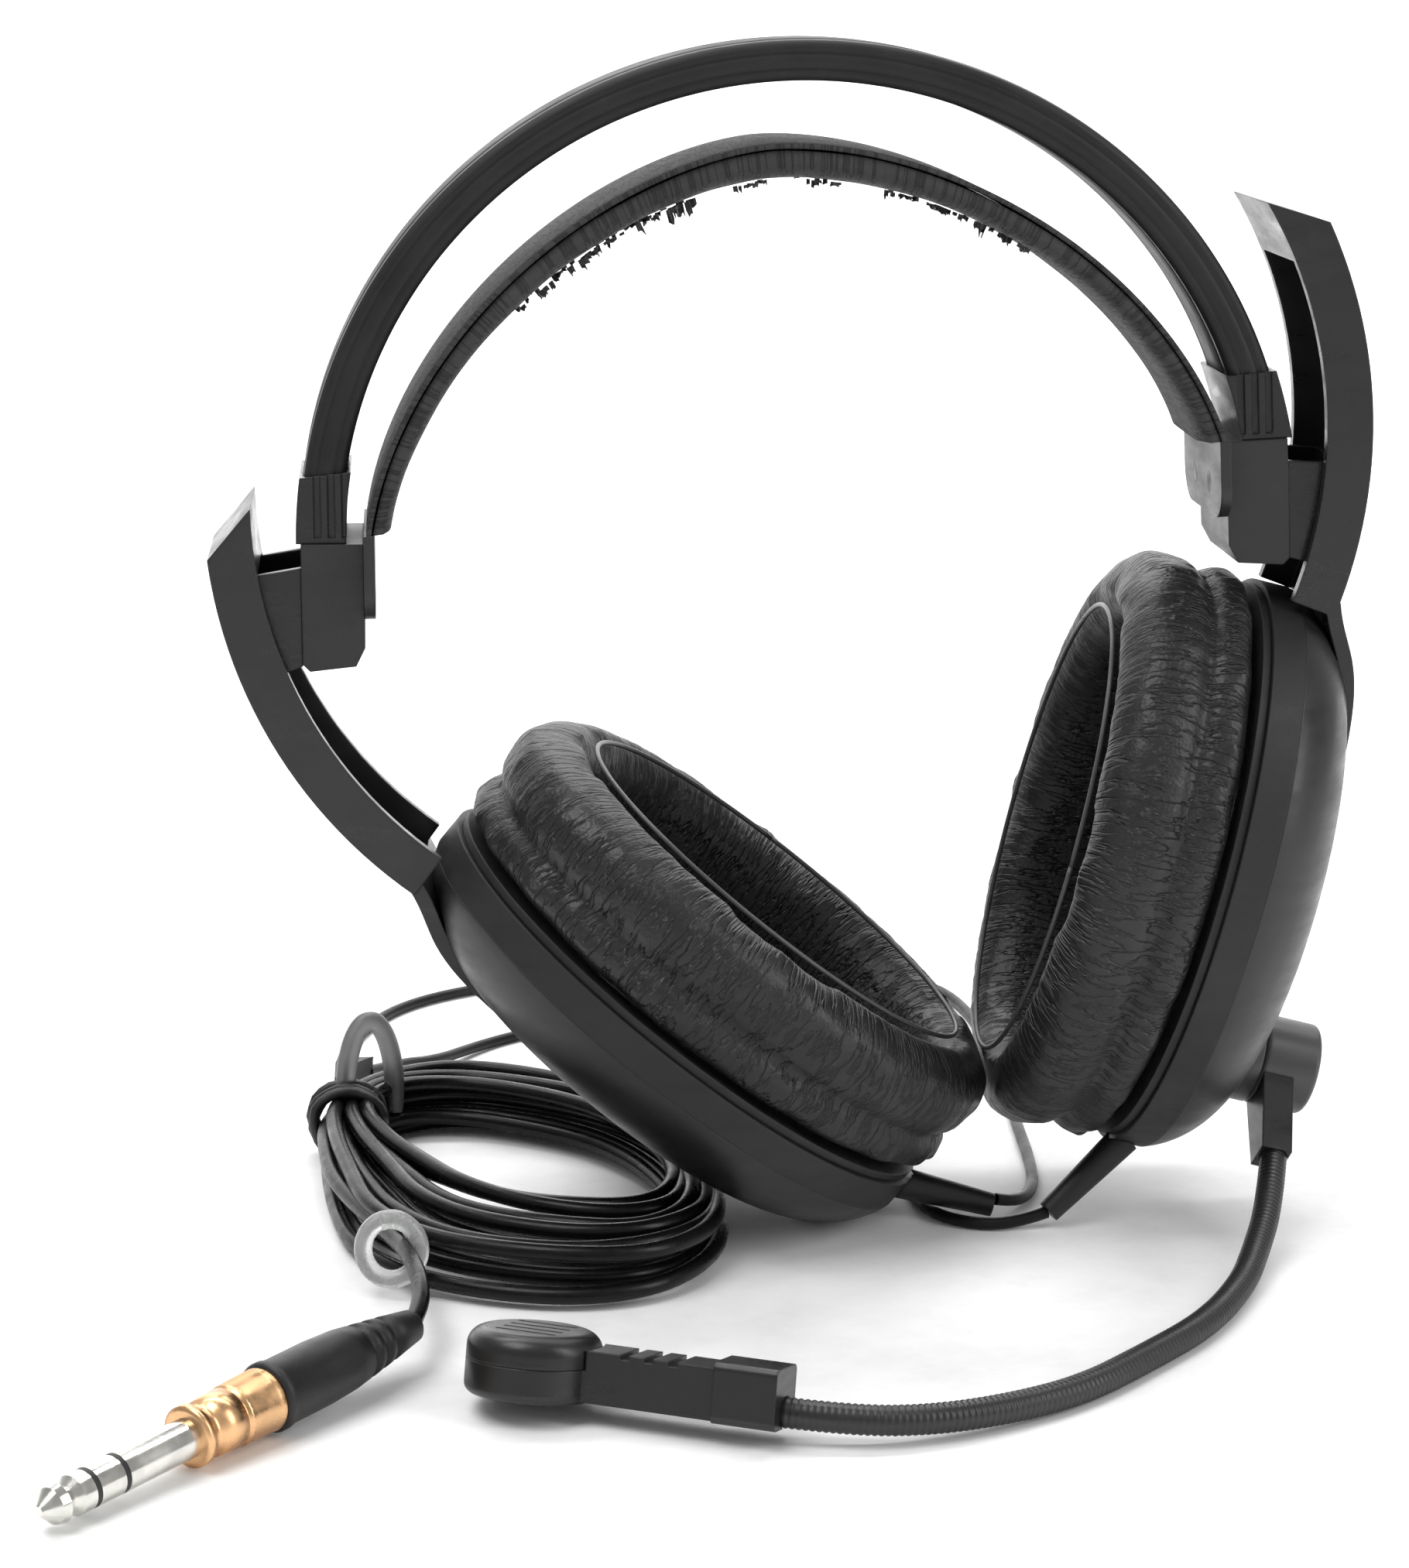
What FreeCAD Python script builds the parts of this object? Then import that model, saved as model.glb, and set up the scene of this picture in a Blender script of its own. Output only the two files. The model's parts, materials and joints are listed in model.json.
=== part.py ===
"""Over-ear radio headset with a boom microphone, a suspension strap and a coiled lead.

Millimetres. +Z is up and the headset stands on z = 0. X runs along the headband from the left cup to
the right cup, and the boom microphone is at the front, towards -Y.
"""
import FreeCAD, Part
import math
import os
import Sketcher
from FreeCAD import Placement, Rotation, Vector

os.makedirs("parts", exist_ok=True)

# Driving dimensions: (alias, value, what it is)
DIMENSIONS = [
    ("centre_x", 1.5, "moves the whole headset so that its box is centred on the origin, along X"),
    ("centre_y", 36.0, "the same, along Y"),
    ("pad_length", 107.0, "ear pad, long axis"),
    ("pad_width", 88.0, "ear pad, short axis"),
    ("pad_height", 22.4, "ear pad, seat to crest"),
    ("opening_length", 80.0, "ear opening in the pad, long axis"),
    ("opening_width", 58.0, "ear opening in the pad, short axis"),
    ("cup_length", 104.6, "housing ring, long axis"),
    ("cup_width", 83.6, "housing ring, short axis"),
    ("ring_front", 1.2, "pad seat plane to the front of the housing ring"),
    ("ring_back", 7.0, "pad seat plane to the back of the housing ring"),
    ("shell_depth", 15.6, "housing ring to the crown of the outer shell"),
    ("shell_wall", 2.2, "outer shell thickness"),
    ("arm_radius", 85.5, "outer radius of the curved arm"),
    ("arm_depth", 8.0, "arm channel, outside to open edge"),
    ("arm_width", 28.0, "arm, front to back"),
    ("arm_wall", 2.2, "arm channel thickness"),
    ("arm_sweep", 53.0, "angle the arm covers, tip to cup"),
    ("band_half_span", 86.0, "headband ellipse, half of the span"),
    ("band_half_rise", 84.0, "headband ellipse, half of the rise"),
    ("band_end_thick", 7.2, "headband thickness at its ends"),
    ("band_top_thick", 6.8, "headband thickness at the top"),
    ("band_width", 20.8, "headband, front to back"),
    ("block_height", 22.0, "slider block height"),
    ("block_depth", 24.0, "slider block, front to back"),
    ("strap_width", 32.0, "suspension strap, front to back"),
    ("hub_radius", 8.3, "boom hub radius"),
    ("gooseneck_diameter", 5.0, "flexible boom"),
    ("driver_radius", 21.5, "loudspeaker frame radius"),
    ("lead_diameter", 2.2, "single lead from each cup"),
    ("cable_diameter", 3.0, "main cable"),
    ("plug_diameter", 6.35, "quarter-inch plug"),
    ("boot_diameter", 10.8, "plug grip"),
]

doc = FreeCAD.newDocument("Headset")
sheet = doc.addObject("Spreadsheet::Sheet", "Dims")
for line, (alias, value, meaning) in enumerate(DIMENSIONS, start=1):
    sheet.set("A%d" % line, meaning)
    sheet.set("B%d" % line, str(value))
    sheet.setAlias("B%d" % line, alias)
doc.recompute()
DIM = {alias: float(sheet.get(alias)) for alias, _, _ in DIMENSIONS}

SPACE = 0.3            # gap between pieces that move past each other
ARM_GAP = 0.4          # gap round an arm's tongue where it lies in the outer shell
NODES = {}             # finished pieces by name


# ---------------------------------------------------------------- frames
def tilt_y(degrees):
    return Rotation(Vector(0, 1, 0), degrees)


HALF_TURN = Rotation(Vector(0, 0, 1), 180)
TO_CENTRE = Vector(DIM["centre_x"], DIM["centre_y"], 0)


def frame(x, y, z, rotation):
    """A placement on the headset, moved with it to the origin."""
    return Placement(Vector(x, y, z) + TO_CENTRE, rotation)


def cup_frame(seat, lean, turn, mirrored):
    """Local +Y runs up the cup's long axis and +Z through the pad towards the head."""
    up = Vector(math.sin(math.radians(lean)), 0, math.cos(math.radians(lean)))
    inward = Vector(-up.z, 0, up.x)
    if mirrored:
        up.x = -up.x
        inward.x = -inward.x
    across = up.cross(inward)
    base = Rotation(across, up, inward, "ZXY")
    return frame(seat[0], 0, seat[1], base.multiply(Rotation(Vector(0, 1, 0), turn)))


CUP = {
    "left": cup_frame((-18.0, 41.25), 51.3, -5.0, True),
    "right": cup_frame((68.2, 63.9), 14.8, 0.0, False),
}
ARC_CENTRE = {"left": (-16.7, 132.0), "right": (13.2, 140.6)}
TIP_ANGLE = {"left": -0.6, "right": 32.0}         # arm tip above the horizontal through its arc centre
BLOCK_ANGLE = {"left": -15.9, "right": -9.3}     # slider block, about the same centre
BLOCK_AT = {"left": (-80.5, 113.6), "right": (79.4, 129.8)}
BLOCK_LEAN = {"left": 0.0, "right": 3.0}
BAND_AT = (0.0, 124.9)
BAND_ROLL = 8.0
ENDS_ROLL = 5.7                                  # the line through both slider blocks


def arc_frame(side, angle):
    """Origin at an arm's arc centre, local +X out along a radius at an angle above the horizontal."""
    x, z = ARC_CENTRE[side]
    spin = tilt_y(-angle)
    if side == "left":
        spin = HALF_TURN.multiply(spin)
    return frame(x, 0, z, spin)


def block_frame(side):
    """Origin at a slider block's centre, local +X outboard."""
    x, z = BLOCK_AT[side]
    spin = tilt_y(-BLOCK_LEAN[side])
    if side == "left":
        spin = HALF_TURN.multiply(tilt_y(BLOCK_LEAN[side]))
    return frame(x, 0, z, spin)


# ---------------------------------------------------------------- modelling helpers
def add(kind, label, **properties):
    """A document object whose number properties are bound to expressions."""
    thing = doc.addObject(kind, label)
    for name, value in properties.items():
        if isinstance(value, str) and name not in ("Label",):
            thing.setExpression(name, value)
        else:
            setattr(thing, name, value)
    return thing


def put(thing, placement):
    """Moves a piece made in its own frame to that frame's place."""
    doc.recompute()
    own = Placement(thing.Placement)
    for axis in "xyz":
        thing.setExpression("Placement.Base." + axis, None)
    thing.Placement = placement.multiply(own)
    return thing


def node(name, thing, placement=None):
    """Names a finished piece and puts it in place."""
    thing.Label = name
    if placement is not None:
        put(thing, placement)
    NODES[name] = thing
    return thing


def fixed_shape(name, shape, placement=None):
    """A piece whose shape comes straight from Part's functions."""
    thing = doc.addObject("Part::Feature", name)
    thing.Shape = shape
    return node(name, thing, placement)


def cut(label, base, tool):
    return add("Part::Cut", label, Base=base, Tool=tool)


def fuse(label, *pieces):
    return add("Part::MultiFuse", label, Shapes=list(pieces))


def common(label, *pieces):
    return add("Part::MultiCommon", label, Shapes=list(pieces))


def box(label, x0, x1, y0, y1, z0, z1):
    """A box between two corners; each corner may be a number or an expression."""
    low = {"x": x0, "y": y0, "z": z0}
    high = {"x": x1, "y": y1, "z": z1}
    thing = doc.addObject("Part::Box", label)
    for axis, size in (("x", "Length"), ("y", "Width"), ("z", "Height")):
        thing.setExpression(size, "(%s) - (%s)" % (high[axis], low[axis]))
        thing.setExpression("Placement.Base." + axis, str(low[axis]))
    return thing


def cylinder(label, radius, bottom, top, x=0, y=0):
    thing = add("Part::Cylinder", label, Radius=str(radius), Height="(%s) - (%s)" % (top, bottom))
    for axis, value in (("x", x), ("y", y), ("z", bottom)):
        thing.setExpression("Placement.Base." + axis, str(value))
    return thing


def oval_stack(label, stations):
    """A solid through ovals: each station is (half length along Y, half width along X, height)."""
    rings = []
    for index, (half_long, half_short, level) in enumerate(stations):
        ring = doc.addObject("Part::Ellipse", "%s_ring%d" % (label, index))
        ring.setExpression("MajorRadius", str(half_long))
        ring.setExpression("MinorRadius", str(half_short))
        ring.Placement = Placement(Vector(0, 0, 0), Rotation(Vector(0, 0, 1), 90))
        ring.setExpression("Placement.Base.z", str(level))
        rings.append(ring)
    return add("Part::Loft", label, Sections=rings, Solid=True, Ruled=False)


def oval_plate(label, half_long, half_short, bottom, top):
    return oval_stack(label, [(half_long, half_short, bottom), (half_long, half_short, top)])


def origin_plane(body, role):
    return next(plane for plane in body.Origin.OriginFeatures if plane.Role == role)


def outline(body, label, role, corners):
    """A closed sketch through corners that are each bound to a pair of expressions."""
    sketch = body.newObject("Sketcher::SketchObject", label)
    sketch.AttachmentSupport = [(origin_plane(body, role), "")]
    sketch.MapMode = "FlatFace"
    count = len(corners)
    for index in range(count):
        turn = 2 * math.pi / count
        start = Vector(math.cos(index * turn), math.sin(index * turn), 0)
        end = Vector(math.cos((index + 1) * turn), math.sin((index + 1) * turn), 0)
        sketch.addGeometry(Part.LineSegment(start, end), False)
    for index in range(count):
        sketch.addConstraint(Sketcher.Constraint("Coincident", index, 2, (index + 1) % count, 1))
    for index, corner in enumerate(corners):
        for kind, value in zip(("DistanceX", "DistanceY"), corner):
            which = sketch.addConstraint(Sketcher.Constraint(kind, -1, 1, index, 1, 1.0))
            sketch.setExpression("Constraints[%d]" % which, str(value))
    return sketch


def turned_body(label, corners, angle, role="XY_Plane", axis="V_Axis"):
    """A body made by turning an outline about a sketch axis."""
    body = doc.addObject("PartDesign::Body", label)
    profile = outline(body, label + "_profile", role, corners)
    turn = body.newObject("PartDesign::Revolution", label + "_turn")
    turn.Profile = profile
    turn.ReferenceAxis = (profile, [axis])
    turn.setExpression("Angle", str(angle))
    return body


def padded_body(label, corners, depth, role="XZ_Plane"):
    """A body made by padding an outline equally to both sides of its plane."""
    body = doc.addObject("PartDesign::Body", label)
    profile = outline(body, label + "_profile", role, corners)
    pad = body.newObject("PartDesign::Pad", label + "_pad")
    pad.Profile = profile
    pad.SideType = "Symmetric"
    pad.setExpression("Length", str(depth))
    return body


def rounded(label, base, radius, pick):
    """Rounds the edges of a finished base that pick() accepts."""
    doc.recompute()
    edges = [i + 1 for i, edge in enumerate(base.Shape.Edges) if pick(edge)]
    fillet = add("Part::Fillet", label, Base=base)
    fillet.Edges = [(i, radius, radius) for i in edges]
    return fillet


def smooth_path(points):
    """Straight runs joined by tangent arcs, each as large as its two runs allow."""
    points = [Vector(*p) for p in points]
    pieces = []
    radii = []
    start = points[0]
    for before, corner, after in zip(points, points[1:], points[2:]):
        into = corner - before
        out = after - corner
        half_turn = into.getAngle(out) / 2
        reach = 0.45 * min(into.Length, out.Length)
        radii.append(reach / math.tan(half_turn))
        first = corner - Vector(into).normalize() * reach
        last = corner + Vector(out).normalize() * reach
        bisector = (Vector(out).normalize() - Vector(into).normalize()).normalize()
        middle = corner + bisector * (radii[-1] / math.cos(half_turn) - radii[-1])
        pieces.append(Part.LineSegment(start, first).toShape())
        pieces.append(Part.Arc(first, middle, last).toShape())
        start = last
    pieces.append(Part.LineSegment(start, points[-1]).toShape())
    return Part.Wire(pieces), radii


def tube_shape(label, points, diameter):
    """A round tube along a path, with its volume compared with section times length."""
    path, radii = smooth_path(points)
    along = Vector(*points[1]) - Vector(*points[0])
    ring = Part.Wire([Part.Circle(Vector(*points[0]), along, diameter / 2).toShape()])
    tube = path.makePipeShell([ring], True, False)
    expected = math.pi * diameter ** 2 / 4 * path.Length
    print("%s: length %.0f mm, radii %s, volume %.3f of section times length" % (
        label, path.Length, [round(r, 1) for r in radii], tube.Volume / expected))
    return tube


# ---------------------------------------------------------------- ear cups
def shell_stack(label, inset):
    """The outer shell's domed form, drawn in by an inset on every side."""
    half_long = "Dims.cup_length / 2 - %g" % inset
    half_short = "Dims.cup_width / 2 - %g" % inset
    steps = [(0, 0, 0), (2.5, 2.3, 0.32), (9, 8, 0.68), (22, 18, 0.89), (38, 31, 1)]
    return oval_stack(label, [
        ("%s - %g" % (half_long, long_step), "%s - %g" % (half_short, short_step),
         "-Dims.ring_back - %g * (Dims.shell_depth - %g)" % (share, inset))
        for long_step, short_step, share in steps])


PIVOT = (12.5, -13.5)  # arm pivot in the cup: along the long axis, and behind the pad seat
PIVOT_RADIUS = 1.2
TONGUE_THICK = 2.6
# outer face of an arm's tongue in the cup's frame: along the long axis, and behind the pad seat
TONGUE_FACE = [(53.5, -12.6), (50.0, -14.2), (44.5, -17.4), (31.0, -20.9), (9.7, -22.8)]


def ribbon(label, near, far, half_width, end):
    """A strip across the cup that follows the tongue's face between two depths under it."""
    face = [Vector(0, y, z) for y, z in TONGUE_FACE]
    face[-1].y = end
    normals = []
    for i in range(len(face)):
        along = face[min(i + 1, len(face) - 1)] - face[max(i - 1, 0)]
        normals.append(Vector(0, along.z, -along.y).normalize())
    edges = []
    for depth in (near, far):
        curve = Part.BSplineCurve()
        points = [point + normal * depth for point, normal in zip(face, normals)]
        reach = [0.0]
        for first, second in zip(points, points[1:]):
            reach.append(reach[-1] + (second - first).Length)
        curve.interpolate(Points=points, Parameters=reach)
        edges.append(curve)
    lines = [Part.LineSegment(edges[0].StartPoint, edges[1].StartPoint),
             Part.LineSegment(edges[0].EndPoint, edges[1].EndPoint)]
    outline_wire = Part.Wire(Part.__sortEdges__([piece.toShape() for piece in edges + lines]))
    strip = Part.Face(outline_wire).extrude(Vector(2 * half_width, 0, 0))
    strip.translate(Vector(-half_width, 0, 0))
    thing = doc.addObject("Part::Feature", label)
    thing.Shape = strip
    return thing


def build_shell(side):
    """Outer shell: a hollow dome with a backed recess that an arm's tongue lies in."""
    half = DIM["arm_width"] / 2
    skin = cut(side + "_shell_skin", shell_stack(side + "_shell_outside", 0),
               shell_stack(side + "_shell_inside", DIM["shell_wall"]))
    tray = common(side + "_recess_tray", ribbon(side + "_tray_strip", 0.3, TONGUE_THICK + 2.6, half + 2.4, 5.9),
                  shell_stack(side + "_tray_limit", 0.05))
    lugs = [
        box("%s_lug%d" % (side, i), low, low + 3, PIVOT[0] - 3.5, PIVOT[0] + 3.5, -18.2, PIVOT[1] + 3)
        for i, low in enumerate((3.3, -6.3))]
    whole = fuse(side + "_shell_fused", skin, tray, *lugs)
    recessed = cut(side + "_shell_recessed", whole,
                   ribbon(side + "_recess", -8, TONGUE_THICK + 0.6, half + ARM_GAP, 8.3))
    windowed = cut(side + "_shell_windowed", recessed,
                   box(side + "_window", -3.3, 3.3, PIVOT[0] - 4.4, PIVOT[0] + 4.4, -25, -15))
    node(side + "_outer_shell", cut(side + "_shell_drilled", windowed,
                                    across_pin(side + "_lug_hole", PIVOT_RADIUS, 20)), CUP[side])


def across_pin(label, radius, length):
    """A cylinder along the arm pivot's axis, across the cup."""
    pin = add("Part::Cylinder", label, Radius=radius, Height=length)
    pin.Placement = Placement(Vector(-length / 2, PIVOT[0], PIVOT[1]), Rotation(Vector(0, 1, 0), 90))
    return pin


DRIVER_AT = -6.0       # loudspeaker centre, below the cup's centre
SCREW_AT = [(x, y) for x in (-25.5, 25.5) for y in (-33.0, 33.0)]


def build_ring(side):
    """Housing ring between the pad plate and the outer shell, with a boss for each screw."""
    outside = oval_plate(side + "_ring_outside", "Dims.cup_length / 2", "Dims.cup_width / 2",
                         "-Dims.ring_back", "-Dims.ring_front")
    inside = oval_plate(side + "_ring_inside", "Dims.cup_length / 2 - 3", "Dims.cup_width / 2 - 3",
                        "-Dims.ring_back - 1", "-Dims.ring_front + 1")
    wall = cut(side + "_ring_wall", outside, inside)
    bosses = [cylinder("%s_boss%d" % (side, i), 3, "-Dims.ring_back", -3.5, x, y)
              for i, (x, y) in enumerate(SCREW_AT)]
    ties = [box("%s_web%d" % (side, i), min(x, x * 1.25), max(x, x * 1.25), y - 1, y + 1, "-Dims.ring_back", -3.5)
            for i, (x, y) in enumerate(SCREW_AT)]
    bores = [cylinder("%s_bore%d" % (side, i), 1.25, -8, 0, x, y) for i, (x, y) in enumerate(SCREW_AT)]
    trimmed = common(side + "_ring_trim", fuse(side + "_ring_fused", wall, *bosses, *ties),
                     oval_plate(side + "_ring_limit", "Dims.cup_length / 2", "Dims.cup_width / 2", -8, 0))
    node(side + "_housing_ring", cut(side + "_ring_bored", trimmed, fuse(side + "_bores", *bores)), CUP[side])


def build_baffle(side):
    """Front plate that carries the loudspeaker, held by four countersunk screws."""
    plate = oval_plate(side + "_baffle_plate", "Dims.cup_length / 2 - 3.2", "Dims.cup_width / 2 - 3.2", -3.4, -1.4)
    mouth = cylinder(side + "_baffle_mouth", "Dims.driver_radius - 1.5", -4, 0, 0, DRIVER_AT)
    holes = [cylinder("%s_baffle_hole%d" % (side, i), 1.6, -4, 0, x, y) for i, (x, y) in enumerate(SCREW_AT)]
    sinks = [cylinder("%s_baffle_sink%d" % (side, i), 2.8, -2.4, 0, x, y) for i, (x, y) in enumerate(SCREW_AT)]
    node(side + "_baffle", cut(side + "_baffle_cut", plate, fuse(side + "_baffle_tools", mouth, *holes, *sinks)),
         CUP[side])
    screws = []
    for i, (x, y) in enumerate(SCREW_AT):
        head = cylinder("%s_screw_head%d" % (side, i), 2.6, -2.4, -1.5, x, y)
        shank = cylinder("%s_screw_shank%d" % (side, i), 1.2, -6.6, -2.4, x, y)
        slot = box("%s_screw_slot%d" % (side, i), x - 2, x + 2, y - 0.3, y + 0.3, -1.9, -1)
        screws.append(cut("%s_screw%d" % (side, i), fuse("%s_screw_blank%d" % (side, i), head, shank), slot))
    node(side + "_baffle_screws", add("Part::Compound", side + "_screws", Links=screws), CUP[side])


def build_driver(side):
    """Loudspeaker: frame with its magnet, a domed diaphragm and a ring of damping felt."""
    frame_blank = fuse(
        side + "_driver_blank",
        cylinder(side + "_driver_flange", "Dims.driver_radius", -5.2, -3.5, 0, DRIVER_AT),
        cylinder(side + "_driver_magnet", 13, -12, -5.2, 0, DRIVER_AT))
    cup_hole = cylinder(side + "_driver_bowl", "Dims.driver_radius - 2.5", -4.7, -3, 0, DRIVER_AT)
    node(side + "_driver_frame", cut(side + "_driver_cut", frame_blank, cup_hole), CUP[side])
    cone = add("Part::Cone", side + "_diaphragm", Radius1="Dims.driver_radius - 2.7", Radius2=9, Height=0.9)
    node(side + "_diaphragm", cone, CUP[side].multiply(Placement(Vector(0, DRIVER_AT, -4.6), Rotation())))
    felt = cut(side + "_felt_ring",
               oval_plate(side + "_felt_outside", "Dims.cup_length / 2 - 9", "Dims.cup_width / 2 - 9", -5.1, -3.6),
               cylinder(side + "_felt_hole", "Dims.driver_radius + 0.4", -6, 0, 0, DRIVER_AT))
    felt_holes = [cylinder("%s_felt_clear%d" % (side, i), 3.4, -6, 0, x, y) for i, (x, y) in enumerate(SCREW_AT)]
    node(side + "_damping_felt", cut(side + "_felt", felt, fuse(side + "_felt_tools", *felt_holes)), CUP[side])


def build_pad(side):
    """Ear pad, its clip-on plate and the cloth over the loudspeaker."""
    half_long = "Dims.pad_length / 2"
    half_short = "Dims.pad_width / 2"
    outside = oval_stack(side + "_pad_outside", [
        (half_long + " - 2.5", half_short + " - 2.2", 0.5),
        (half_long + " - 1.2", half_short + " - 1.0", "0.20 * Dims.pad_height"),
        (half_long + " - 2.2", half_short + " - 2.0", "0.38 * Dims.pad_height"),
        (half_long, half_short, "0.60 * Dims.pad_height"),
        (half_long + " - 2.5", half_short + " - 2.5", "0.84 * Dims.pad_height"),
        (half_long + " - 9", half_short + " - 9", "Dims.pad_height"),
    ])
    inside = oval_stack(side + "_pad_inside", [
        ("Dims.opening_length / 2 - 2", "Dims.opening_width / 2 - 2", -1),
        ("Dims.opening_length / 2", "Dims.opening_width / 2", "Dims.pad_height + 1"),
    ])
    node(side + "_ear_pad", cut(side + "_pad_cut", outside, inside), CUP[side])
    plate = cut(
        side + "_plate_cut",
        oval_plate(side + "_plate_outside", "Dims.cup_length / 2 - 1", "Dims.cup_width / 2 - 1", -1.1, 0.4),
        oval_plate(side + "_plate_inside", "Dims.opening_length / 2 - 1", "Dims.opening_width / 2 - 1", -2, 1))
    node(side + "_pad_plate", plate, CUP[side])
    cloth = oval_plate(side + "_cloth", "Dims.opening_length / 2 - 1.4", "Dims.opening_width / 2 - 1.4", -1.2, -0.6)
    node(side + "_driver_cloth", cloth, CUP[side])


# where each lead leaves its cup, in the cup's frame: root on the ring, then the boot's free end
BOOT = {
    "left": ((-8.0, -50.0, -3.4), (-8.5, -66.0, 3.8)),
    "right": ((11.0, -49.5, -3.4), (15.0, -65.0, 7.2)),
}
BOOT_ROOT_RADIUS = 2.9
BOOT_END_RADIUS = 2.1


def build_boot(side):
    """Tapered strain relief standing on the bottom of the housing ring."""
    root, end = (Vector(*p) for p in BOOT[side])
    along = end - root
    cone = add("Part::Cone", side + "_boot_cone", Radius1=BOOT_ROOT_RADIUS, Radius2=BOOT_END_RADIUS,
               Height=along.Length)
    cone.Placement = Placement(root, Rotation(Vector(0, 0, 1), along))
    ring = oval_plate(side + "_boot_limit", "Dims.cup_length / 2", "Dims.cup_width / 2", -9, -0.2)
    node(side + "_lead_boot", cut(side + "_boot_cut", cone, ring), CUP[side])


def build_cup(side):
    build_shell(side)
    build_ring(side)
    build_baffle(side)
    build_driver(side)
    build_pad(side)
    build_boot(side)


# ---------------------------------------------------------------- curved arms
TIP_SLOPE = 1.15       # the tip drops this much per millimetre outwards
TIP_SLOPE_END = 95


def build_arm(side):
    """C-shaped channel that ends in a flat tongue lying in the outer shell."""
    outside = "Dims.arm_radius"
    inside = "Dims.arm_radius - Dims.arm_depth"
    web = "Dims.arm_radius - Dims.arm_wall"
    half = "Dims.arm_width / 2"
    inner_half = "Dims.arm_width / 2 - Dims.arm_wall"
    channel = turned_body(side + "_channel", [
        (outside, half), (inside, half), (inside, inner_half), (web, inner_half),
        (web, "-(%s)" % inner_half), (inside, "-(%s)" % inner_half), (inside, "-(%s)" % half),
        (outside, "-(%s)" % half),
    ], "Dims.arm_sweep")
    channel.Placement = arc_frame(side, TIP_ANGLE[side])
    closing = turned_body(side + "_tip_wall", [
        (outside, half), (inside, half), (inside, "-(%s)" % half), (outside, "-(%s)" % half)], 8.5)
    slope = padded_body(side + "_tip_slope", [(inside, 0), (inside, 5), (TIP_SLOPE_END, 5),
        (TIP_SLOPE_END, "-%g * (%g - (%s))" % (TIP_SLOPE, TIP_SLOPE_END, inside))], 40)
    for part in (closing, slope):
        part.Placement = arc_frame(side, TIP_ANGLE[side])
    cup = CUP[side]
    foot = fuse(
        side + "_arm_foot", ribbon(side + "_tongue", 0, TONGUE_THICK, DIM["arm_width"] / 2, TONGUE_FACE[-1][0]),
        box(side + "_knuckle", -3, 3, PIVOT[0] - 2.8, PIVOT[0] + 2.8, -21, PIVOT[1] + 2.6))
    lower = cut(side + "_arm_lower", foot, across_pin(side + "_arm_hole", PIVOT_RADIUS + 0.05, 20))
    lower.Placement = cup
    upper = cut(side + "_arm_upper", fuse(side + "_arm_channel", channel, closing), slope)
    node(side + "_arm", fuse(side + "_arm_whole", upper, lower))
    pin = across_pin(side + "_pivot_pin", PIVOT_RADIUS, 12)
    pin.Placement = cup.multiply(pin.Placement)
    node(side + "_pivot_pin", pin)


# ---------------------------------------------------------------- headband
BLOCK_WIDE = 10.7
CARRIAGE_INSIDE = 68.5
CARRIAGE_OUTSIDE = 82.9
CARRIAGE_HALF = 11.5
TAB_THICK = 1.9
FERRULE_TOP = 19.5


def band_frame(roll):
    """Ovals stacked in this frame have their long axis along the headband's span."""
    turn = math.radians(roll)
    right = Vector(math.cos(turn), 0, math.sin(turn))
    rear = Vector(0, 1, 0)
    return frame(BAND_AT[0], 0, BAND_AT[1], Rotation(right.cross(rear), right, rear, "ZXY"))


def oval_ring(label, outer, inner, half_width, roll):
    """An elliptical hoop: outer and inner are pairs of half span and half rise."""
    ring = cut(label, oval_plate(label + "_outside", outer[0], outer[1], "-(%s)" % half_width, half_width),
               oval_plate(label + "_inside", inner[0], inner[1], "-(%s) - 1" % half_width,
                          "%s + 1" % half_width))
    ring.Placement = band_frame(roll)
    return ring


def above(label, level, side=0):
    """Everything above a level through the headband, or only its left (-1) or right (+1) half."""
    left = -130 if side <= 0 else 0
    right = 130 if side >= 0 else 0
    return put(box(label, level, 130, left, right, -60, 60), band_frame(ENDS_ROLL))


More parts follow.
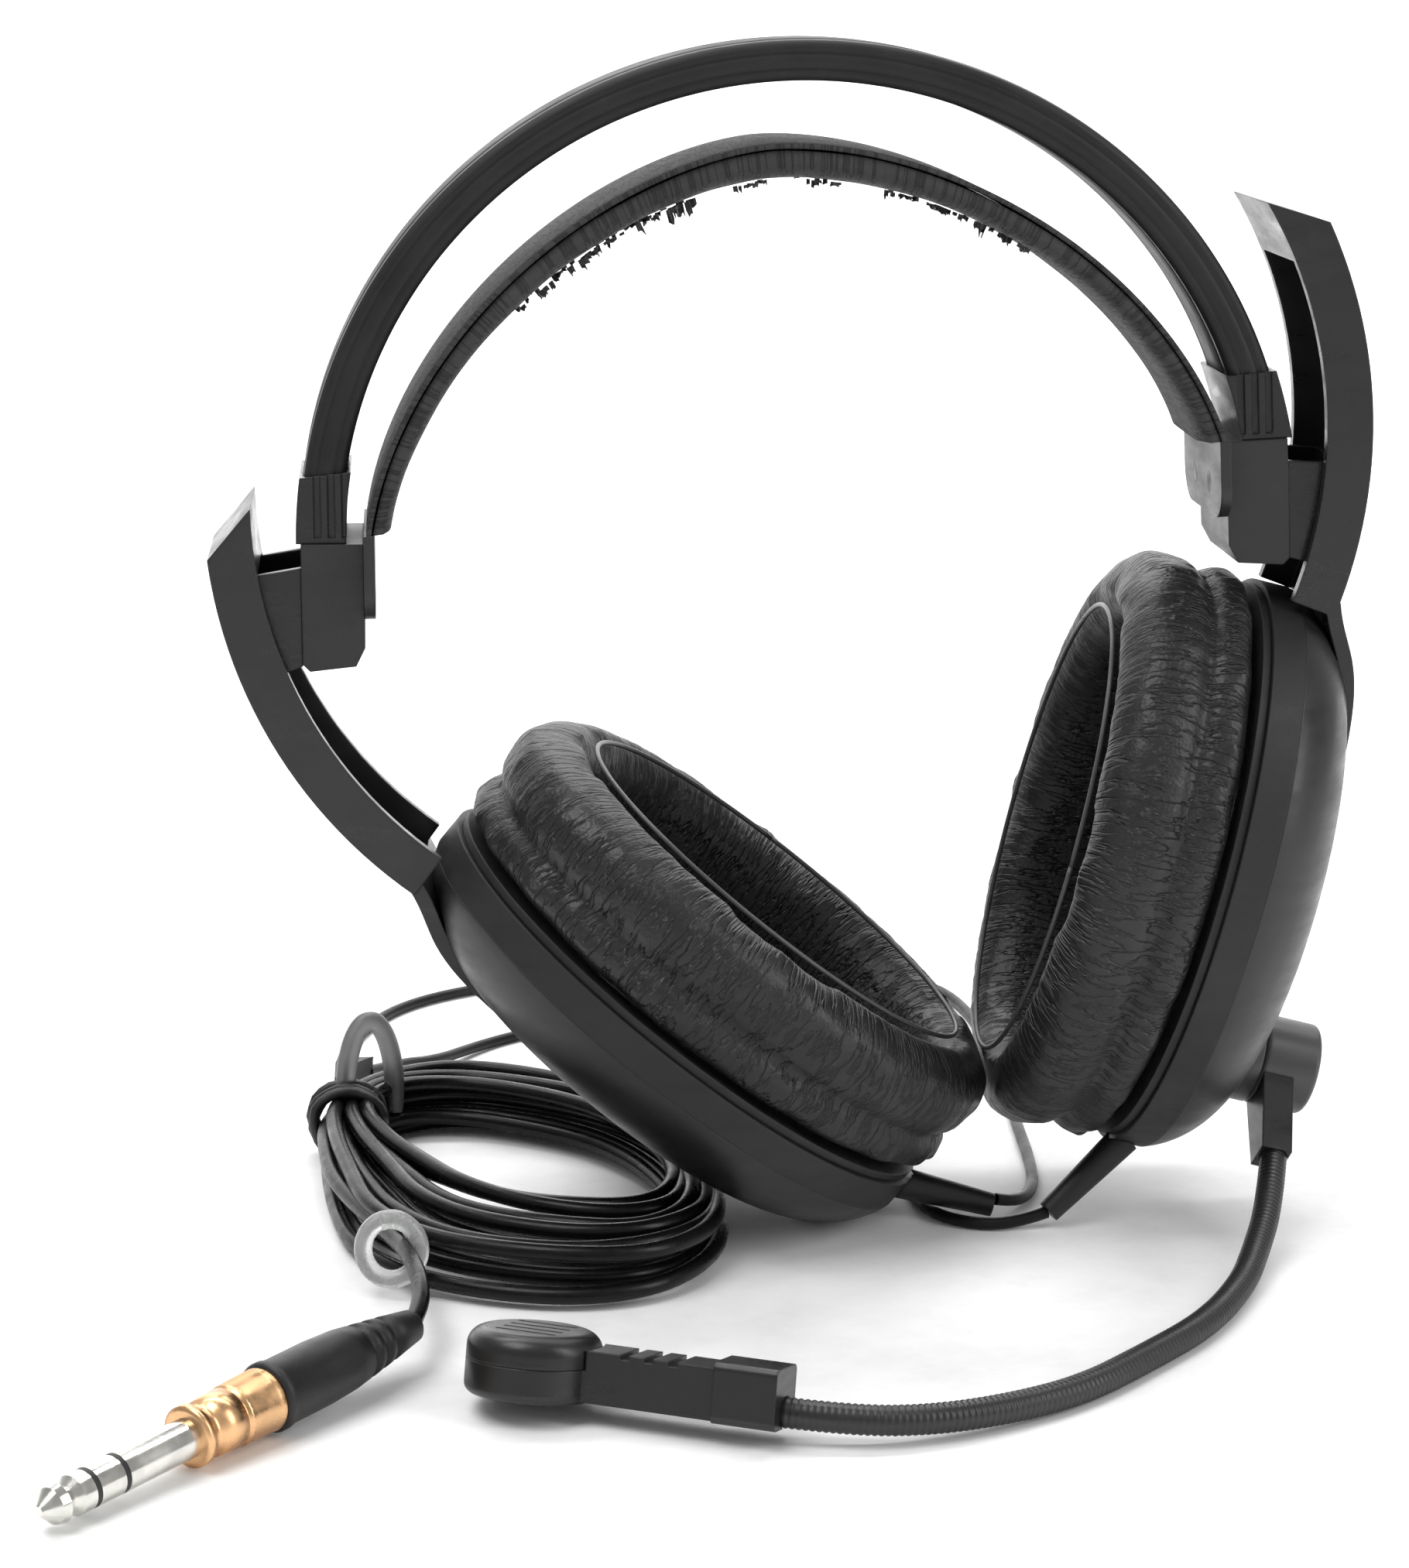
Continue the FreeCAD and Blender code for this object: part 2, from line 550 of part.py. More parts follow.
def build_band():
    half_width = "Dims.band_width / 2"
    outer = ("Dims.band_half_span", "Dims.band_half_rise")
    inner = ("Dims.band_half_span - Dims.band_end_thick", "Dims.band_half_rise - Dims.band_top_thick")
    hoop = common("band_hoop", oval_ring("band_ring", outer, inner, half_width, BAND_ROLL), above("band_keep", 14))
    soft = rounded("band_soft", hoop, 1.6,
                   lambda edge: abs(edge.CenterOfMass.y - DIM["centre_y"]) > 10 and edge.Length > 100)
    spring_ring = oval_ring(
        "spring_ring", ("Dims.band_half_span - 3.2", "Dims.band_half_rise - 2.1"),
        ("Dims.band_half_span - 4.0", "Dims.band_half_rise - 2.9"), 7, BAND_ROLL)
    spring = node("band_spring", common("spring_cut", spring_ring, above("spring_keep", 14)))
    node("headband", cut("band_cut", soft, spring))
    for side, sign in (("left", -1), ("right", 1)):
        sleeve = common(
            side + "_ferrule_blank",
            oval_ring(side + "_ferrule_ring", (outer[0] + " + 0.7", outer[1] + " + 0.7"),
                      (inner[0] + " - 0.7", inner[1] + " - 0.7"), half_width + " + 0.8", BAND_ROLL),
            cut(side + "_ferrule_zone", above(side + "_ferrule_low", 2, sign),
                above(side + "_ferrule_high", FERRULE_TOP, sign)))
        fitted = cut(side + "_ferrule_fitted", sleeve, soft)
        seated = cut(side + "_ferrule_seated", fitted,
                     put(box(side + "_block_zone", -30, 30, -20, 20, -60, 11), block_frame(side)))
        for i, x in enumerate((-2.4, 0, 2.4)):
            for face in (-1, 1):
                near, far = sorted((face * 10.6, face * 13))
                flute = put(box("%s_flute%d_%s" % (side, i, "front" if face < 0 else "back"),
                                x - 0.6, x + 0.6, near, far, 12, 30), block_frame(side))
                seated = cut("%s_fluted%d_%s" % (side, i, "front" if face < 0 else "back"), seated, flute)
        node(side + "_ferrule", seated)


def build_slider(side):
    """Slider block under the headband, with the carriage that runs in the arm's channel."""
    place = block_frame(side)
    top = "Dims.block_height / 2"
    half = BLOCK_WIDE / 2
    body = padded_body(side + "_block_body", [
        (-half, "-Dims.block_height / 2 + 4"), (-half + 1.6, "-Dims.block_height / 2 + 0.8"),
        (half - 1.2, "-Dims.block_height / 2"), (half, "-Dims.block_height / 2 + 1.2"),
        (half, top), (-half, top)], "Dims.block_depth")
    body.Placement = place
    NODES[side + "_block"] = body
    sector = turned_body(side + "_carriage_sector", [
        (CARRIAGE_OUTSIDE, CARRIAGE_HALF), (CARRIAGE_INSIDE, CARRIAGE_HALF),
        (CARRIAGE_INSIDE, -CARRIAGE_HALF), (CARRIAGE_OUTSIDE, -CARRIAGE_HALF)], 13)
    hollow = turned_body(side + "_carriage_hollow", [
        (CARRIAGE_OUTSIDE - 1.6, CARRIAGE_HALF - 1.6), (CARRIAGE_INSIDE - 2, CARRIAGE_HALF - 1.6),
        (CARRIAGE_INSIDE - 2, -CARRIAGE_HALF + 1.6), (CARRIAGE_OUTSIDE - 1.6, -CARRIAGE_HALF + 1.6)], 14)
    sector.Placement = arc_frame(side, BLOCK_ANGLE[side] + 6.5)
    hollow.Placement = arc_frame(side, BLOCK_ANGLE[side] + 9.3)
    zone = put(box(side + "_carriage_zone", -30, half, -20, 20, -40, 40), place)
    node(side + "_carriage", cut(side + "_carriage_cut", sector, fuse(side + "_carriage_tools", hollow, zone)))
    tab = rounded(side + "_tab_soft", box(side + "_tab_plate", -half - TAB_THICK, -half, "-Dims.strap_width / 2",
                                          "Dims.strap_width / 2", -2.2, 16), 6,
                  lambda edge: abs(edge.CenterOfMass.z + 2.2) < 0.1 and edge.Length < 3)
    heads = [turned_x("%s_screw%d" % (side, i), (-half - TAB_THICK, y, 3.5), 1.9, 0.9)
             for i, y in enumerate((-6, 6))]
    shanks = [turned_x("%s_shank%d" % (side, i), (-half - TAB_THICK, y, 3.5), 1.2, 8)
              for i, y in enumerate((-6, 6))]
    return tab, fuse(side + "_tab_screw_set", *heads, *shanks), place


def turned_x(label, start, radius, length):
    """A cylinder along local +X."""
    pin = add("Part::Cylinder", label, Radius=radius, Height=length)
    pin.Placement = Placement(Vector(*start), Rotation(Vector(0, 1, 0), 90))
    return pin


STRAP_LEVEL = 9        # both ends of the strap, above the line through the slider blocks
STRAP_PEAK = 8 / 7     # 1 gives an elliptical arch; more makes its flanks flatter and its top sharper
STRAP_STEPS = 24


def arch(half_span, half_rise):
    """One curve of the strap from its left end over the top to its right end."""
    start = math.asin((STRAP_LEVEL / half_rise) ** (1 / STRAP_PEAK))
    points = []
    for step in range(STRAP_STEPS + 1):
        turn = start + (math.pi - 2 * start) * step / STRAP_STEPS
        along = math.cos(turn)
        points.append(Vector(half_rise * math.sin(turn) ** STRAP_PEAK,
                             -math.copysign(half_span * abs(along) ** STRAP_PEAK, along), 0))
    curve = Part.BSplineCurve()
    curve.interpolate(points)
    return curve.toShape()


def strap_layer(label, outer, inner):
    """A layer of the strap between two arches."""
    edges = [arch(*outer), arch(*inner)]
    for end in (0, 1):
        corners = [edge.Vertexes[-end].Point for edge in edges[:2]]
        edges.append(Part.LineSegment(*corners).toShape())
    width = DIM["strap_width"]
    layer = Part.Face(Part.Wire(Part.__sortEdges__(edges))).extrude(Vector(0, 0, width))
    layer.translate(Vector(0, 0, -width / 2))
    layer.Placement = band_frame(ENDS_ROLL).multiply(layer.Placement)
    fixed_shape(label, layer)


def build_strap():
    middle = (74.3, 66.2)
    strap_layer("strap_skin", (75.5, 67.4), middle)
    strap_layer("strap_pad", middle, (71.0, 60.8))
    for side in ("left", "right"):
        tab, screws, place = build_slider(side)
        put(tab, place)
        node(side + "_tab_screws", screws, place)
        short = cut(side + "_tab_short", tab, above(side + "_tab_top", STRAP_LEVEL))
        node(side + "_strap_tab", cut(side + "_tab_cut", short, screws))
        node(side + "_block", cut(side + "_block_bored", NODES[side + "_block"], screws))


# ---------------------------------------------------------------- boom microphone
HUB_AT = -32.2         # boom hub, below the right cup's centre
HUB_FACE = -24.8       # where the turning knob meets its fixed base
KNOB_FACE = -35.5
HOLDER_MIDDLE = -28.2  # the holder arm leaves the inboard half of the knob
HOLDER_DROP = 35.0     # holder arm, below the horizontal towards the front
HOLDER_LENGTH = 22.6
HUB_PLACE = CUP["right"].multiply(Placement(Vector(0, HUB_AT, 0), Rotation(Vector(0, 0, 1), -HOLDER_DROP)))
MIC_AT = (-50.3, -94.2, 7.4)
MIC_HEADING = -25.4
MIC_ROLL = -12.0       # the microphone lies with its cover leaning to the rear
GOOSENECK = [
    (84.4, -18.0, 13.4), (81.0, -30.5, 8.0), (76.3, -42.0, 4.2), (71.5, -54.0, 2.52), (61.7, -72.2, 2.52),
    (48.5, -87.1, 2.52), (35.9, -100.4, 2.6), (22.5, -108.6, 3.0), (9.6, -113.6, 3.6), (-2.4, -114.8, 4.4),
    (-13.0, -111.9, 5.0),
]


def to_centre(points):
    return [Vector(*p) + TO_CENTRE for p in points]


def build_boom():
    base = cut("hub_base_cut", cylinder("hub_base_blank", "Dims.hub_radius", HUB_FACE, -12, 0, HUB_AT),
               shell_stack("hub_shell_limit", 0))
    node("boom_hub_base", base, CUP["right"])
    knob = cylinder("knob_disc", "Dims.hub_radius", KNOB_FACE, HUB_FACE - 0.1)
    reach = padded_body("holder_reach", [
        (0, 5.2), (HOLDER_LENGTH, 2.9), (HOLDER_LENGTH, -2.9), (0, -5.2)], 5.6, "XY_Plane")
    reach.Placement = Placement(Vector(0, 0, HOLDER_MIDDLE), Rotation())
    node("boom_knob", cut("knob_cut", rounded("knob_soft", knob, 1.0, lambda edge: edge.Closed), reach), HUB_PLACE)
    holder = put(add("Part::Compound", "holder_blank", Links=[reach]), HUB_PLACE)
    neck = fixed_shape("gooseneck", tube_shape("gooseneck", to_centre(GOOSENECK), DIM["gooseneck_diameter"]))
    node("boom_holder", cut("holder_cut", holder, neck))
    build_microphone(neck)


def build_microphone(neck):
    """Collar, flat oval body with a domed cover, and the capsule inside."""
    place = frame(MIC_AT[0], MIC_AT[1], MIC_AT[2], Rotation(Vector(0, 0, 1), MIC_HEADING).multiply(
        Rotation(Vector(1, 0, 0), MIC_ROLL)))
    collar = box("collar_block", 31.6, 42.0, -4.6, 4.6, -4.8, 4.8)
    collar_soft = rounded("collar_soft", collar, 1.2, lambda edge: edge.Length > 10)
    node("mic_collar", cut("collar_cut", put(collar_soft, place), neck))
    stem = box("mic_stem", 8, 31.6, -4, 4, -4.4, 3.8)
    notches = [box("mic_notch%d" % i, 16 + 4 * i, 17.4 + 4 * i, -5, 5, 3.1, 5) for i in range(3)]
    lower = cylinder("mic_lower", 10.75, -5, 0.6)
    chamber = cylinder("mic_chamber", 8.5, -3.2, 2)
    body = cut("mic_body_cut", fuse("mic_body_blank", stem, rounded(
        "mic_lower_soft", lower, 1.5, lambda edge: abs(edge.CenterOfMass.z + 5) < 0.01 and edge.Closed)),
        fuse("mic_body_tools", chamber, cylinder("mic_cover_seat", 11, 0.6, 6), *notches))
    node("mic_body", body, place)
    cover = rounded("mic_cover_soft", cylinder("mic_cover_disc", 10.75, 0.7, 5.5), 3.0,
                    lambda edge: abs(edge.CenterOfMass.z - 5.5) < 0.01 and edge.Closed)
    slots = [box("mic_slot%d" % i, -5, 5, -4.6 + 3 * i, -3.8 + 3 * i, 2, 7) for i in range(4)]
    recess = cylinder("mic_cover_recess", 8.2, 0, 2.4)
    node("mic_cover", cut("mic_cover_cut", cover, fuse("mic_cover_tools", recess, *slots)), place)
    node("mic_capsule", cylinder("mic_capsule_disc", 4.9, -3.2, 1.9), place)


# ---------------------------------------------------------------- leads, coil and plug
PLUG_TIP = (-123.7, -139.3, 3.9)
PLUG_HEADING = 49.0
PLUG_RISE = 2.6
PLUG_PLACE = frame(*PLUG_TIP, Rotation(Vector(0, 0, 1), PLUG_HEADING).multiply(tilt_y(-PLUG_RISE)))
SHANK_END = 30.9
SLEEVE_END = 48.2
BOOT_END = 83.4
LEADS = {
    "left": [
        (36.0, -8.0, 3.2), (40.5, -5.2, 1.5), (44.8, 3.0, 1.2), (46.8, 18.0, 1.2), (48.0, 44.0, 1.2),
        (50.5, 84.0, 1.2), (50.6, 122.0, 1.2), (44.5, 146.0, 1.2), (24.0, 154.6, 1.2), (-12.0, 156.0, 1.2),
        (-46.0, 152.4, 1.2), (-68.0, 139.0, 1.2), (-78.6, 118.0, 1.2), (-82.4, 96.0, 1.6), (-82.2, 78.0, 4.4),
        (-80.6, 66.0, 7.6)],
    "right": [
        (43.0, -15.2, 2.5), (37.5, -16.6, 1.4), (31.0, -15.6, 1.2), (24.5, -9.6, 1.2), (22.2, 4.0, 1.2),
        (22.8, 24.0, 1.2), (19.0, 46.0, 1.2), (7.0, 72.0, 1.2), (-10.0, 96.0, 1.2), (-27.0, 111.5, 1.2),
        (-42.0, 114.5, 1.2), (-54.0, 104.5, 1.2), (-63.0, 89.5, 2.6), (-71.5, 77.5, 5.6), (-76.8, 66.0, 7.6)],
}
CABLE = [(-69.3, -76.2, 7.6), (-67.6, -69.0, 8.2), (-67.8, -58.0, 9.0), (-69.4, -46.0, 8.8), (-71.5, -35.0, 8.0)]
SPLIT_AT = (-78.7, 59.5, 7.6)
COIL_OUTLINE = [
    (-84, 44), (-84, 18), (-82, -12), (-77, -38), (-66, -50), (-48, -58), (-28, -54), (-14, -36), (-10, -8),
    (-14, 18), (-24, 40), (-40, 58), (-56, 70), (-70, 70), (-79, 62)]
COIL_HOLE = [(-56, 30), (-57, 14), (-48, -4), (-32, -14), (-18, -12), (-18, 6), (-30, 26), (-46, 36)]
COIL_HEIGHT = 13.0
TIES = {"rear_tie": (-86.5, -74, 34, 42), "front_tie": (-85, -67, -34, -27)}
TIE_HEIGHT = 14.6


def smooth_loop(points, level, height):
    """A slab whose outline is a smooth closed curve."""
    curve = Part.BSplineCurve()
    curve.interpolate([Vector(x, y, level) for x, y in points], PeriodicFlag=True)
    return Part.Face(Part.Wire(curve.toShape())).extrude(Vector(0, 0, height))


def build_cords():
    outer = smooth_loop(COIL_OUTLINE, 0.15, COIL_HEIGHT)
    outer = outer.makeFillet(3.5, [e for e in outer.Edges if e.Closed])
    slab = outer.cut(smooth_loop(COIL_HOLE, -5, 40))
    slab.translate(TO_CENTRE)
    limit = shell_stack("coil_shell_limit", -2.5)
    limit.Placement = CUP["left"]
    doc.recompute()
    coil = slab.cut(limit.Shape).Solids[0]
    fixed_shape("cable_coil", coil)
    split = Part.makeBox(9, 11, 6, Vector(*SPLIT_AT) + Vector(-4.5, -4.5, -3) + TO_CENTRE)
    split = split.makeFillet(1.4, [edge for edge in split.Edges if edge.Length > 10])
    fixed_shape("lead_splitter", split.cut(coil).Solids[0])
    for side in ("left", "right"):
        fixed_shape(side + "_lead", tube_shape(side + "_lead", to_centre(LEADS[side]), DIM["lead_diameter"]))
    cable = tube_shape("main_cable", to_centre(CABLE), DIM["cable_diameter"])
    fixed_shape("main_cable", cable.cut(coil).Solids[0])
    for name, (x0, x1, y0, y1) in TIES.items():
        band = Part.makeBox(x1 - x0, y1 - y0, TIE_HEIGHT, Vector(x0, y0, 0.15) + TO_CENTRE)
        fixed_shape(name, max(band.cut(coil).Solids, key=lambda piece: piece.Volume))


def build_plug():
    """Quarter-inch stereo plug: shank with insulating rings, knurled sleeve and tapered grip."""
    radius = "Dims.plug_diameter / 2"
    rings = (9.0, 15.0)
    shank = turned_body("shank_blank", [
        (0, 0), (0, 0.8), (2.4, radius + " - 0.3"), (3.8, radius), (5.4, radius + " - 1.1"), (6.6, radius),
        (SHANK_END, radius), (SHANK_END, 0)], 360, "XY_Plane", "H_Axis")
    insulators = []
    for i, start in enumerate(rings):
        insulators.append(turned_body("insulator%d" % i, [
            (start, radius + " - 0.8"), (start, radius), (start + 1, radius), (start + 1, radius + " - 0.8")],
            360, "XY_Plane", "H_Axis"))
    node("plug_insulators", add("Part::Compound", "insulator_set", Links=insulators), PLUG_PLACE)
    node("plug_shank", cut("shank_cut", shank, fuse("insulator_cutters", *insulators)), PLUG_PLACE)
    sleeve = turned_body("sleeve_blank", [
        (SHANK_END, 0), (SHANK_END, 5.3), (SHANK_END + 2.2, 5.3), (SHANK_END + 2.2, 4.7), (SLEEVE_END - 3, 4.7),
        (SLEEVE_END - 3, 5.2), (SLEEVE_END, 5.2), (SLEEVE_END, 0)], 360, "XY_Plane", "H_Axis")
    node("plug_sleeve", sleeve, PLUG_PLACE)
    grip = "Dims.boot_diameter / 2"
    boot = turned_body("grip_blank", [
        (SLEEVE_END, 0), (SLEEVE_END, grip + " - 0.2"), (SLEEVE_END + 1, grip), (SLEEVE_END + 20, grip + " - 0.5"),
        (SLEEVE_END + 21, grip + " - 1.5"), (SLEEVE_END + 23, grip + " - 1.5"), (SLEEVE_END + 24, grip + " - 0.9"),
        (SLEEVE_END + 26, grip + " - 2.1"), (SLEEVE_END + 28, grip + " - 1.4"), (BOOT_END, 2.8), (BOOT_END, 0)],
        360, "XY_Plane", "H_Axis")
    node("plug_grip", boot, PLUG_PLACE)


# ---------------------------------------------------------------- build, check and write
for cup_side in ("left", "right"):
    build_cup(cup_side)
    build_arm(cup_side)
build_band()
build_strap()
build_boom()
build_cords()
build_plug()
doc.recompute()

for thing in doc.Objects:
    bad = [word for word in ("Invalid", "Error") if word in thing.State]
    if bad:
        raise RuntimeError("%s: %s" % (thing.Label, thing.State))
for name, thing in sorted(NODES.items()):
    shape = thing.Shape
    if shape.isNull() or not shape.isValid() or not shape.Solids:
        raise RuntimeError("%s is not a valid solid" % name)
    tight = shape.optimalBoundingBox()
    print("%-18s solids %2d volume %8.0f x %6.1f %6.1f y %6.1f %6.1f z %6.2f %6.1f" % (
        name, len(shape.Solids), shape.Volume, tight.XMin, tight.XMax, tight.YMin, tight.YMax,
        tight.ZMin, tight.ZMax))
    shape.exportStep("parts/%s.step" % name)
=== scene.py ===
import bmesh
import bpy
import json
import math
from mathutils import Euler, Matrix, Vector, noise


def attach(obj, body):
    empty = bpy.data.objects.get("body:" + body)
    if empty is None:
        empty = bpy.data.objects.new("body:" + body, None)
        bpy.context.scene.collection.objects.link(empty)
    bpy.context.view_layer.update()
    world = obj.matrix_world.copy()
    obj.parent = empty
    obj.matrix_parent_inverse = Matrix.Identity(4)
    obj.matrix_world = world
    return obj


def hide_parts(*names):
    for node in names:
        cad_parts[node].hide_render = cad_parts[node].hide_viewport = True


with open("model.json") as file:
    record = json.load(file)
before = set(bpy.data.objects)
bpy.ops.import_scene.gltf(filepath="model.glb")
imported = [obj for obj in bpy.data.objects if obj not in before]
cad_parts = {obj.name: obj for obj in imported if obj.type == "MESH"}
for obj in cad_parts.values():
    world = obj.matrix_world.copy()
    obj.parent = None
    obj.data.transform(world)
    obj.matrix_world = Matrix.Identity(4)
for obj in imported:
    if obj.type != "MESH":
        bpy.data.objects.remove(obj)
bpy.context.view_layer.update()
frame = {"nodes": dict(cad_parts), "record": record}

MM = 0.001
CENTRE = Vector((1.5, 36.0, 0.0))      # moves the measured layout to the part's own origin


def at(x, y, z):
    """A point of the layout, in millimetres, as a point of the frame, in metres."""
    return (Vector((x, y, z)) + CENTRE) * MM


# ---------------------------------------------------------------- camera, lights and floor
CAMERA_AT = at(-70.0, -680.0, 231.5)
CAMERA_DOWN = 12.6
CAMERA_TURN = 4.55
LENS = 90.6


def build_camera():
    data = bpy.data.cameras.new("camera")
    data.lens = LENS
    data.sensor_width = 36.0
    camera = bpy.data.objects.new("camera", data)
    camera.location = CAMERA_AT
    camera.rotation_euler = Euler((math.radians(90 - CAMERA_DOWN), 0, math.radians(-CAMERA_TURN)))
    bpy.context.collection.objects.link(camera)
    bpy.context.scene.camera = camera


def area_light(name, place, target, size, power):
    data = bpy.data.lights.new(name, "AREA")
    data.shape = "RECTANGLE"
    data.size, data.size_y = size
    data.energy = power
    lamp = bpy.data.objects.new(name, data)
    lamp.location = place
    lamp.rotation_euler = (Vector(target) - Vector(place)).to_track_quat("-Z", "Y").to_euler()
    bpy.context.collection.objects.link(lamp)


def build_stage():
    world = bpy.data.worlds.new("studio")
    world.use_nodes = True
    background = world.node_tree.nodes["Background"]
    background.inputs["Color"].default_value = (1.0, 1.0, 1.0, 1)
    background.inputs["Strength"].default_value = 0.42
    bpy.context.scene.world = world
    target = (0, 0, 0.08)
    area_light("key", (-0.5, -0.3, 1.2), target, (0.7, 0.7), 8)
    area_light("side", (0.9, -0.5, 0.6), target, (0.3, 0.9), 5)
    area_light("rear", (0.2, 1.0, 1.1), target, (1.2, 0.5), 2.5)
    area_light("backdrop", (0.0, 0.9, 1.9), (0, 2.0, 0.5), (2.5, 0.6), 60)
    profile = [(-3.0, 0.0), (1.2, 0.0), (1.5, 0.04), (1.75, 0.15), (1.92, 0.35), (2.0, 0.65), (2.0, 4.0)]
    vertices = [(x, y, z) for y, z in profile for x in (-4.0, 4.0)]
    sweep = new_object("floor", vertices, grid_faces(len(profile), 2, False, False), "floor_paper")
    bpy.context.scene.view_settings.view_transform = "Standard"


# ---------------------------------------------------------------- materials
def new_material(name, colour, roughness, metallic=0.0):
    material = bpy.data.materials.new(name)
    material.use_nodes = True
    nodes = material.node_tree.nodes
    links = material.node_tree.links
    shader = nodes["Principled BSDF"]
    shader.inputs["Base Color"].default_value = (*colour, 1)
    shader.inputs["Roughness"].default_value = roughness
    shader.inputs["Metallic"].default_value = metallic
    return material, shader, nodes, links


def place_of(nodes, links, stretch=(1, 1, 1), source="Object"):
    """Texture position in a piece's own frame, stretched along its axes."""
    where = nodes.new("ShaderNodeTexCoord")
    mapping = nodes.new("ShaderNodeMapping")
    mapping.inputs["Scale"].default_value = stretch
    links.new(where.outputs[source], mapping.inputs["Vector"])
    return mapping.outputs["Vector"]


def noise_of(nodes, links, place, scale, detail=4.0, roughness=0.55):
    texture = nodes.new("ShaderNodeTexNoise")
    texture.inputs["Scale"].default_value = scale
    texture.inputs["Detail"].default_value = detail
    texture.inputs["Roughness"].default_value = roughness
    links.new(place, texture.inputs["Vector"])
    return texture.outputs["Fac"]


def ramp_of(nodes, links, factor, stops):
    """A colour ramp through (position, colour) stops."""
    ramp = nodes.new("ShaderNodeValToRGB")
    elements = ramp.color_ramp.elements
    while len(elements) < len(stops):
        elements.new(0.5)
    for element, (position, colour) in zip(elements, stops):
        element.position = position
        element.color = (*colour, 1)
    links.new(factor, ramp.inputs["Fac"])
    return ramp.outputs["Color"]


def grey(value):
    return (value, value, value)


def range_of(nodes, links, factor, low, high, start=0.3, end=0.7):
    spread = nodes.new("ShaderNodeMapRange")
    spread.inputs["From Min"].default_value = start
    spread.inputs["From Max"].default_value = end
    spread.inputs["To Min"].default_value = low
    spread.inputs["To Max"].default_value = high
    links.new(factor, spread.inputs["Value"])
    return spread.outputs["Result"]


def add_bump(nodes, links, shader, height, strength, distance, after=None):
    bump = nodes.new("ShaderNodeBump")
    bump.inputs["Strength"].default_value = strength
    bump.inputs["Distance"].default_value = distance
    links.new(height, bump.inputs["Height"])
    if after is not None:
        links.new(after, bump.inputs["Normal"])
    links.new(bump.outputs["Normal"], shader.inputs["Normal"])
    return bump.outputs["Normal"]


def plastic(name, colour, roughness, grain=0.15, wear=0.5, grain_scale=2600, edge_radius=0.0005):
    """Moulded plastic: fine spark grain, handling marks and a little dust."""
    material, shader, nodes, links = new_material(name, colour, roughness)
    place = place_of(nodes, links)
    marks = noise_of(nodes, links, place, 38, 8, 0.7)
    worn = tuple(min(1.0, c * (1 + 1.3 * wear) + 0.012 * wear) for c in colour)
    handled = tuple(c * 1.12 for c in colour)
    tint = ramp_of(nodes, links, marks, [(0.35, colour), (0.62, handled), (0.8, worn)])
    links.new(tint, shader.inputs["Base Color"])
    smears = noise_of(nodes, links, place_of(nodes, links, (1, 1, 3.5)), 60, 6, 0.65)
    links.new(range_of(nodes, links, smears, roughness - 0.08, roughness + 0.14), shader.inputs["Roughness"])
    fine = noise_of(nodes, links, place, grain_scale, 2, 0.5)
    edge = nodes.new("ShaderNodeBevel")
    edge.samples = 4
    edge.inputs["Radius"].default_value = edge_radius
    add_bump(nodes, links, shader, fine, grain, 0.00012, edge.outputs["Normal"])
    return material


def metal(name, colour, roughness, stretch=(1, 1, 1), scale=900):
    """Plated metal with fine turning marks and dulled patches."""
    material, shader, nodes, links = new_material(name, colour, roughness, 1.0)
    streaks = noise_of(nodes, links, place_of(nodes, links, stretch), scale, 4)
    patches = noise_of(nodes, links, place_of(nodes, links), 260, 5)
    tint = ramp_of(nodes, links, patches, [(0.3, tuple(c * 0.78 for c in colour)), (0.65, colour)])
    links.new(tint, shader.inputs["Base Color"])
    links.new(range_of(nodes, links, patches, roughness * 0.7, roughness * 1.5), shader.inputs["Roughness"])
    add_bump(nodes, links, shader, streaks, 0.12, 0.00008)
    return material


def vinyl(name, colour, creases=True, gloss=0.5):
    """Leather-look vinyl: pebble grain, and creases that run across the piece's own V direction, with painted
    shade darkening the colour along the creases.
    """
    material, shader, nodes, links = new_material(name, colour, 0.5)
    shader.inputs["Specular IOR Level"].default_value = gloss
    place = place_of(nodes, links)
    broad = noise_of(nodes, links, place, 40, 6, 0.6)
    tint = ramp_of(nodes, links, broad, [
        (0.3, tuple(c * 0.85 for c in colour)), (0.55, colour), (0.8, tuple(c * 1.2 for c in colour))])
    cells = nodes.new("ShaderNodeTexVoronoi")
    cells.inputs["Scale"].default_value = 1500
    links.new(place, cells.inputs["Vector"])
    normal = add_bump(nodes, links, shader, cells.outputs["Distance"], 0.35, 0.00018)
    if creases:
        across = noise_of(nodes, links, place_of(nodes, links, (1, 0.02, 1), "UV"), 150, 3, 0.5)
        lines = ramp_of(nodes, links, across, [
            (0.0, grey(1)), (0.45, grey(0.8)), (0.5, grey(0)), (0.55, grey(0.9))])
        normal = add_bump(nodes, links, shader, lines, 0.7, 0.0006, normal)
        # painted shade: the crease lines are multiplied into the colour, darkening it along the creases
        crease_shade = nodes.new("ShaderNodeMix")
        crease_shade.data_type = "RGBA"
        crease_shade.blend_type = "MULTIPLY"
        crease_shade.inputs["Factor"].default_value = 0.35
        links.new(tint, crease_shade.inputs["A"])
        links.new(lines, crease_shade.inputs["B"])
        tint = crease_shade.outputs["Result"]
    links.new(tint, shader.inputs["Base Color"])
    sheen = range_of(nodes, links, broad, 0.71 - 0.7 * gloss, 0.8 - 0.6 * gloss)
    links.new(sheen, shader.inputs["Roughness"])
    return material


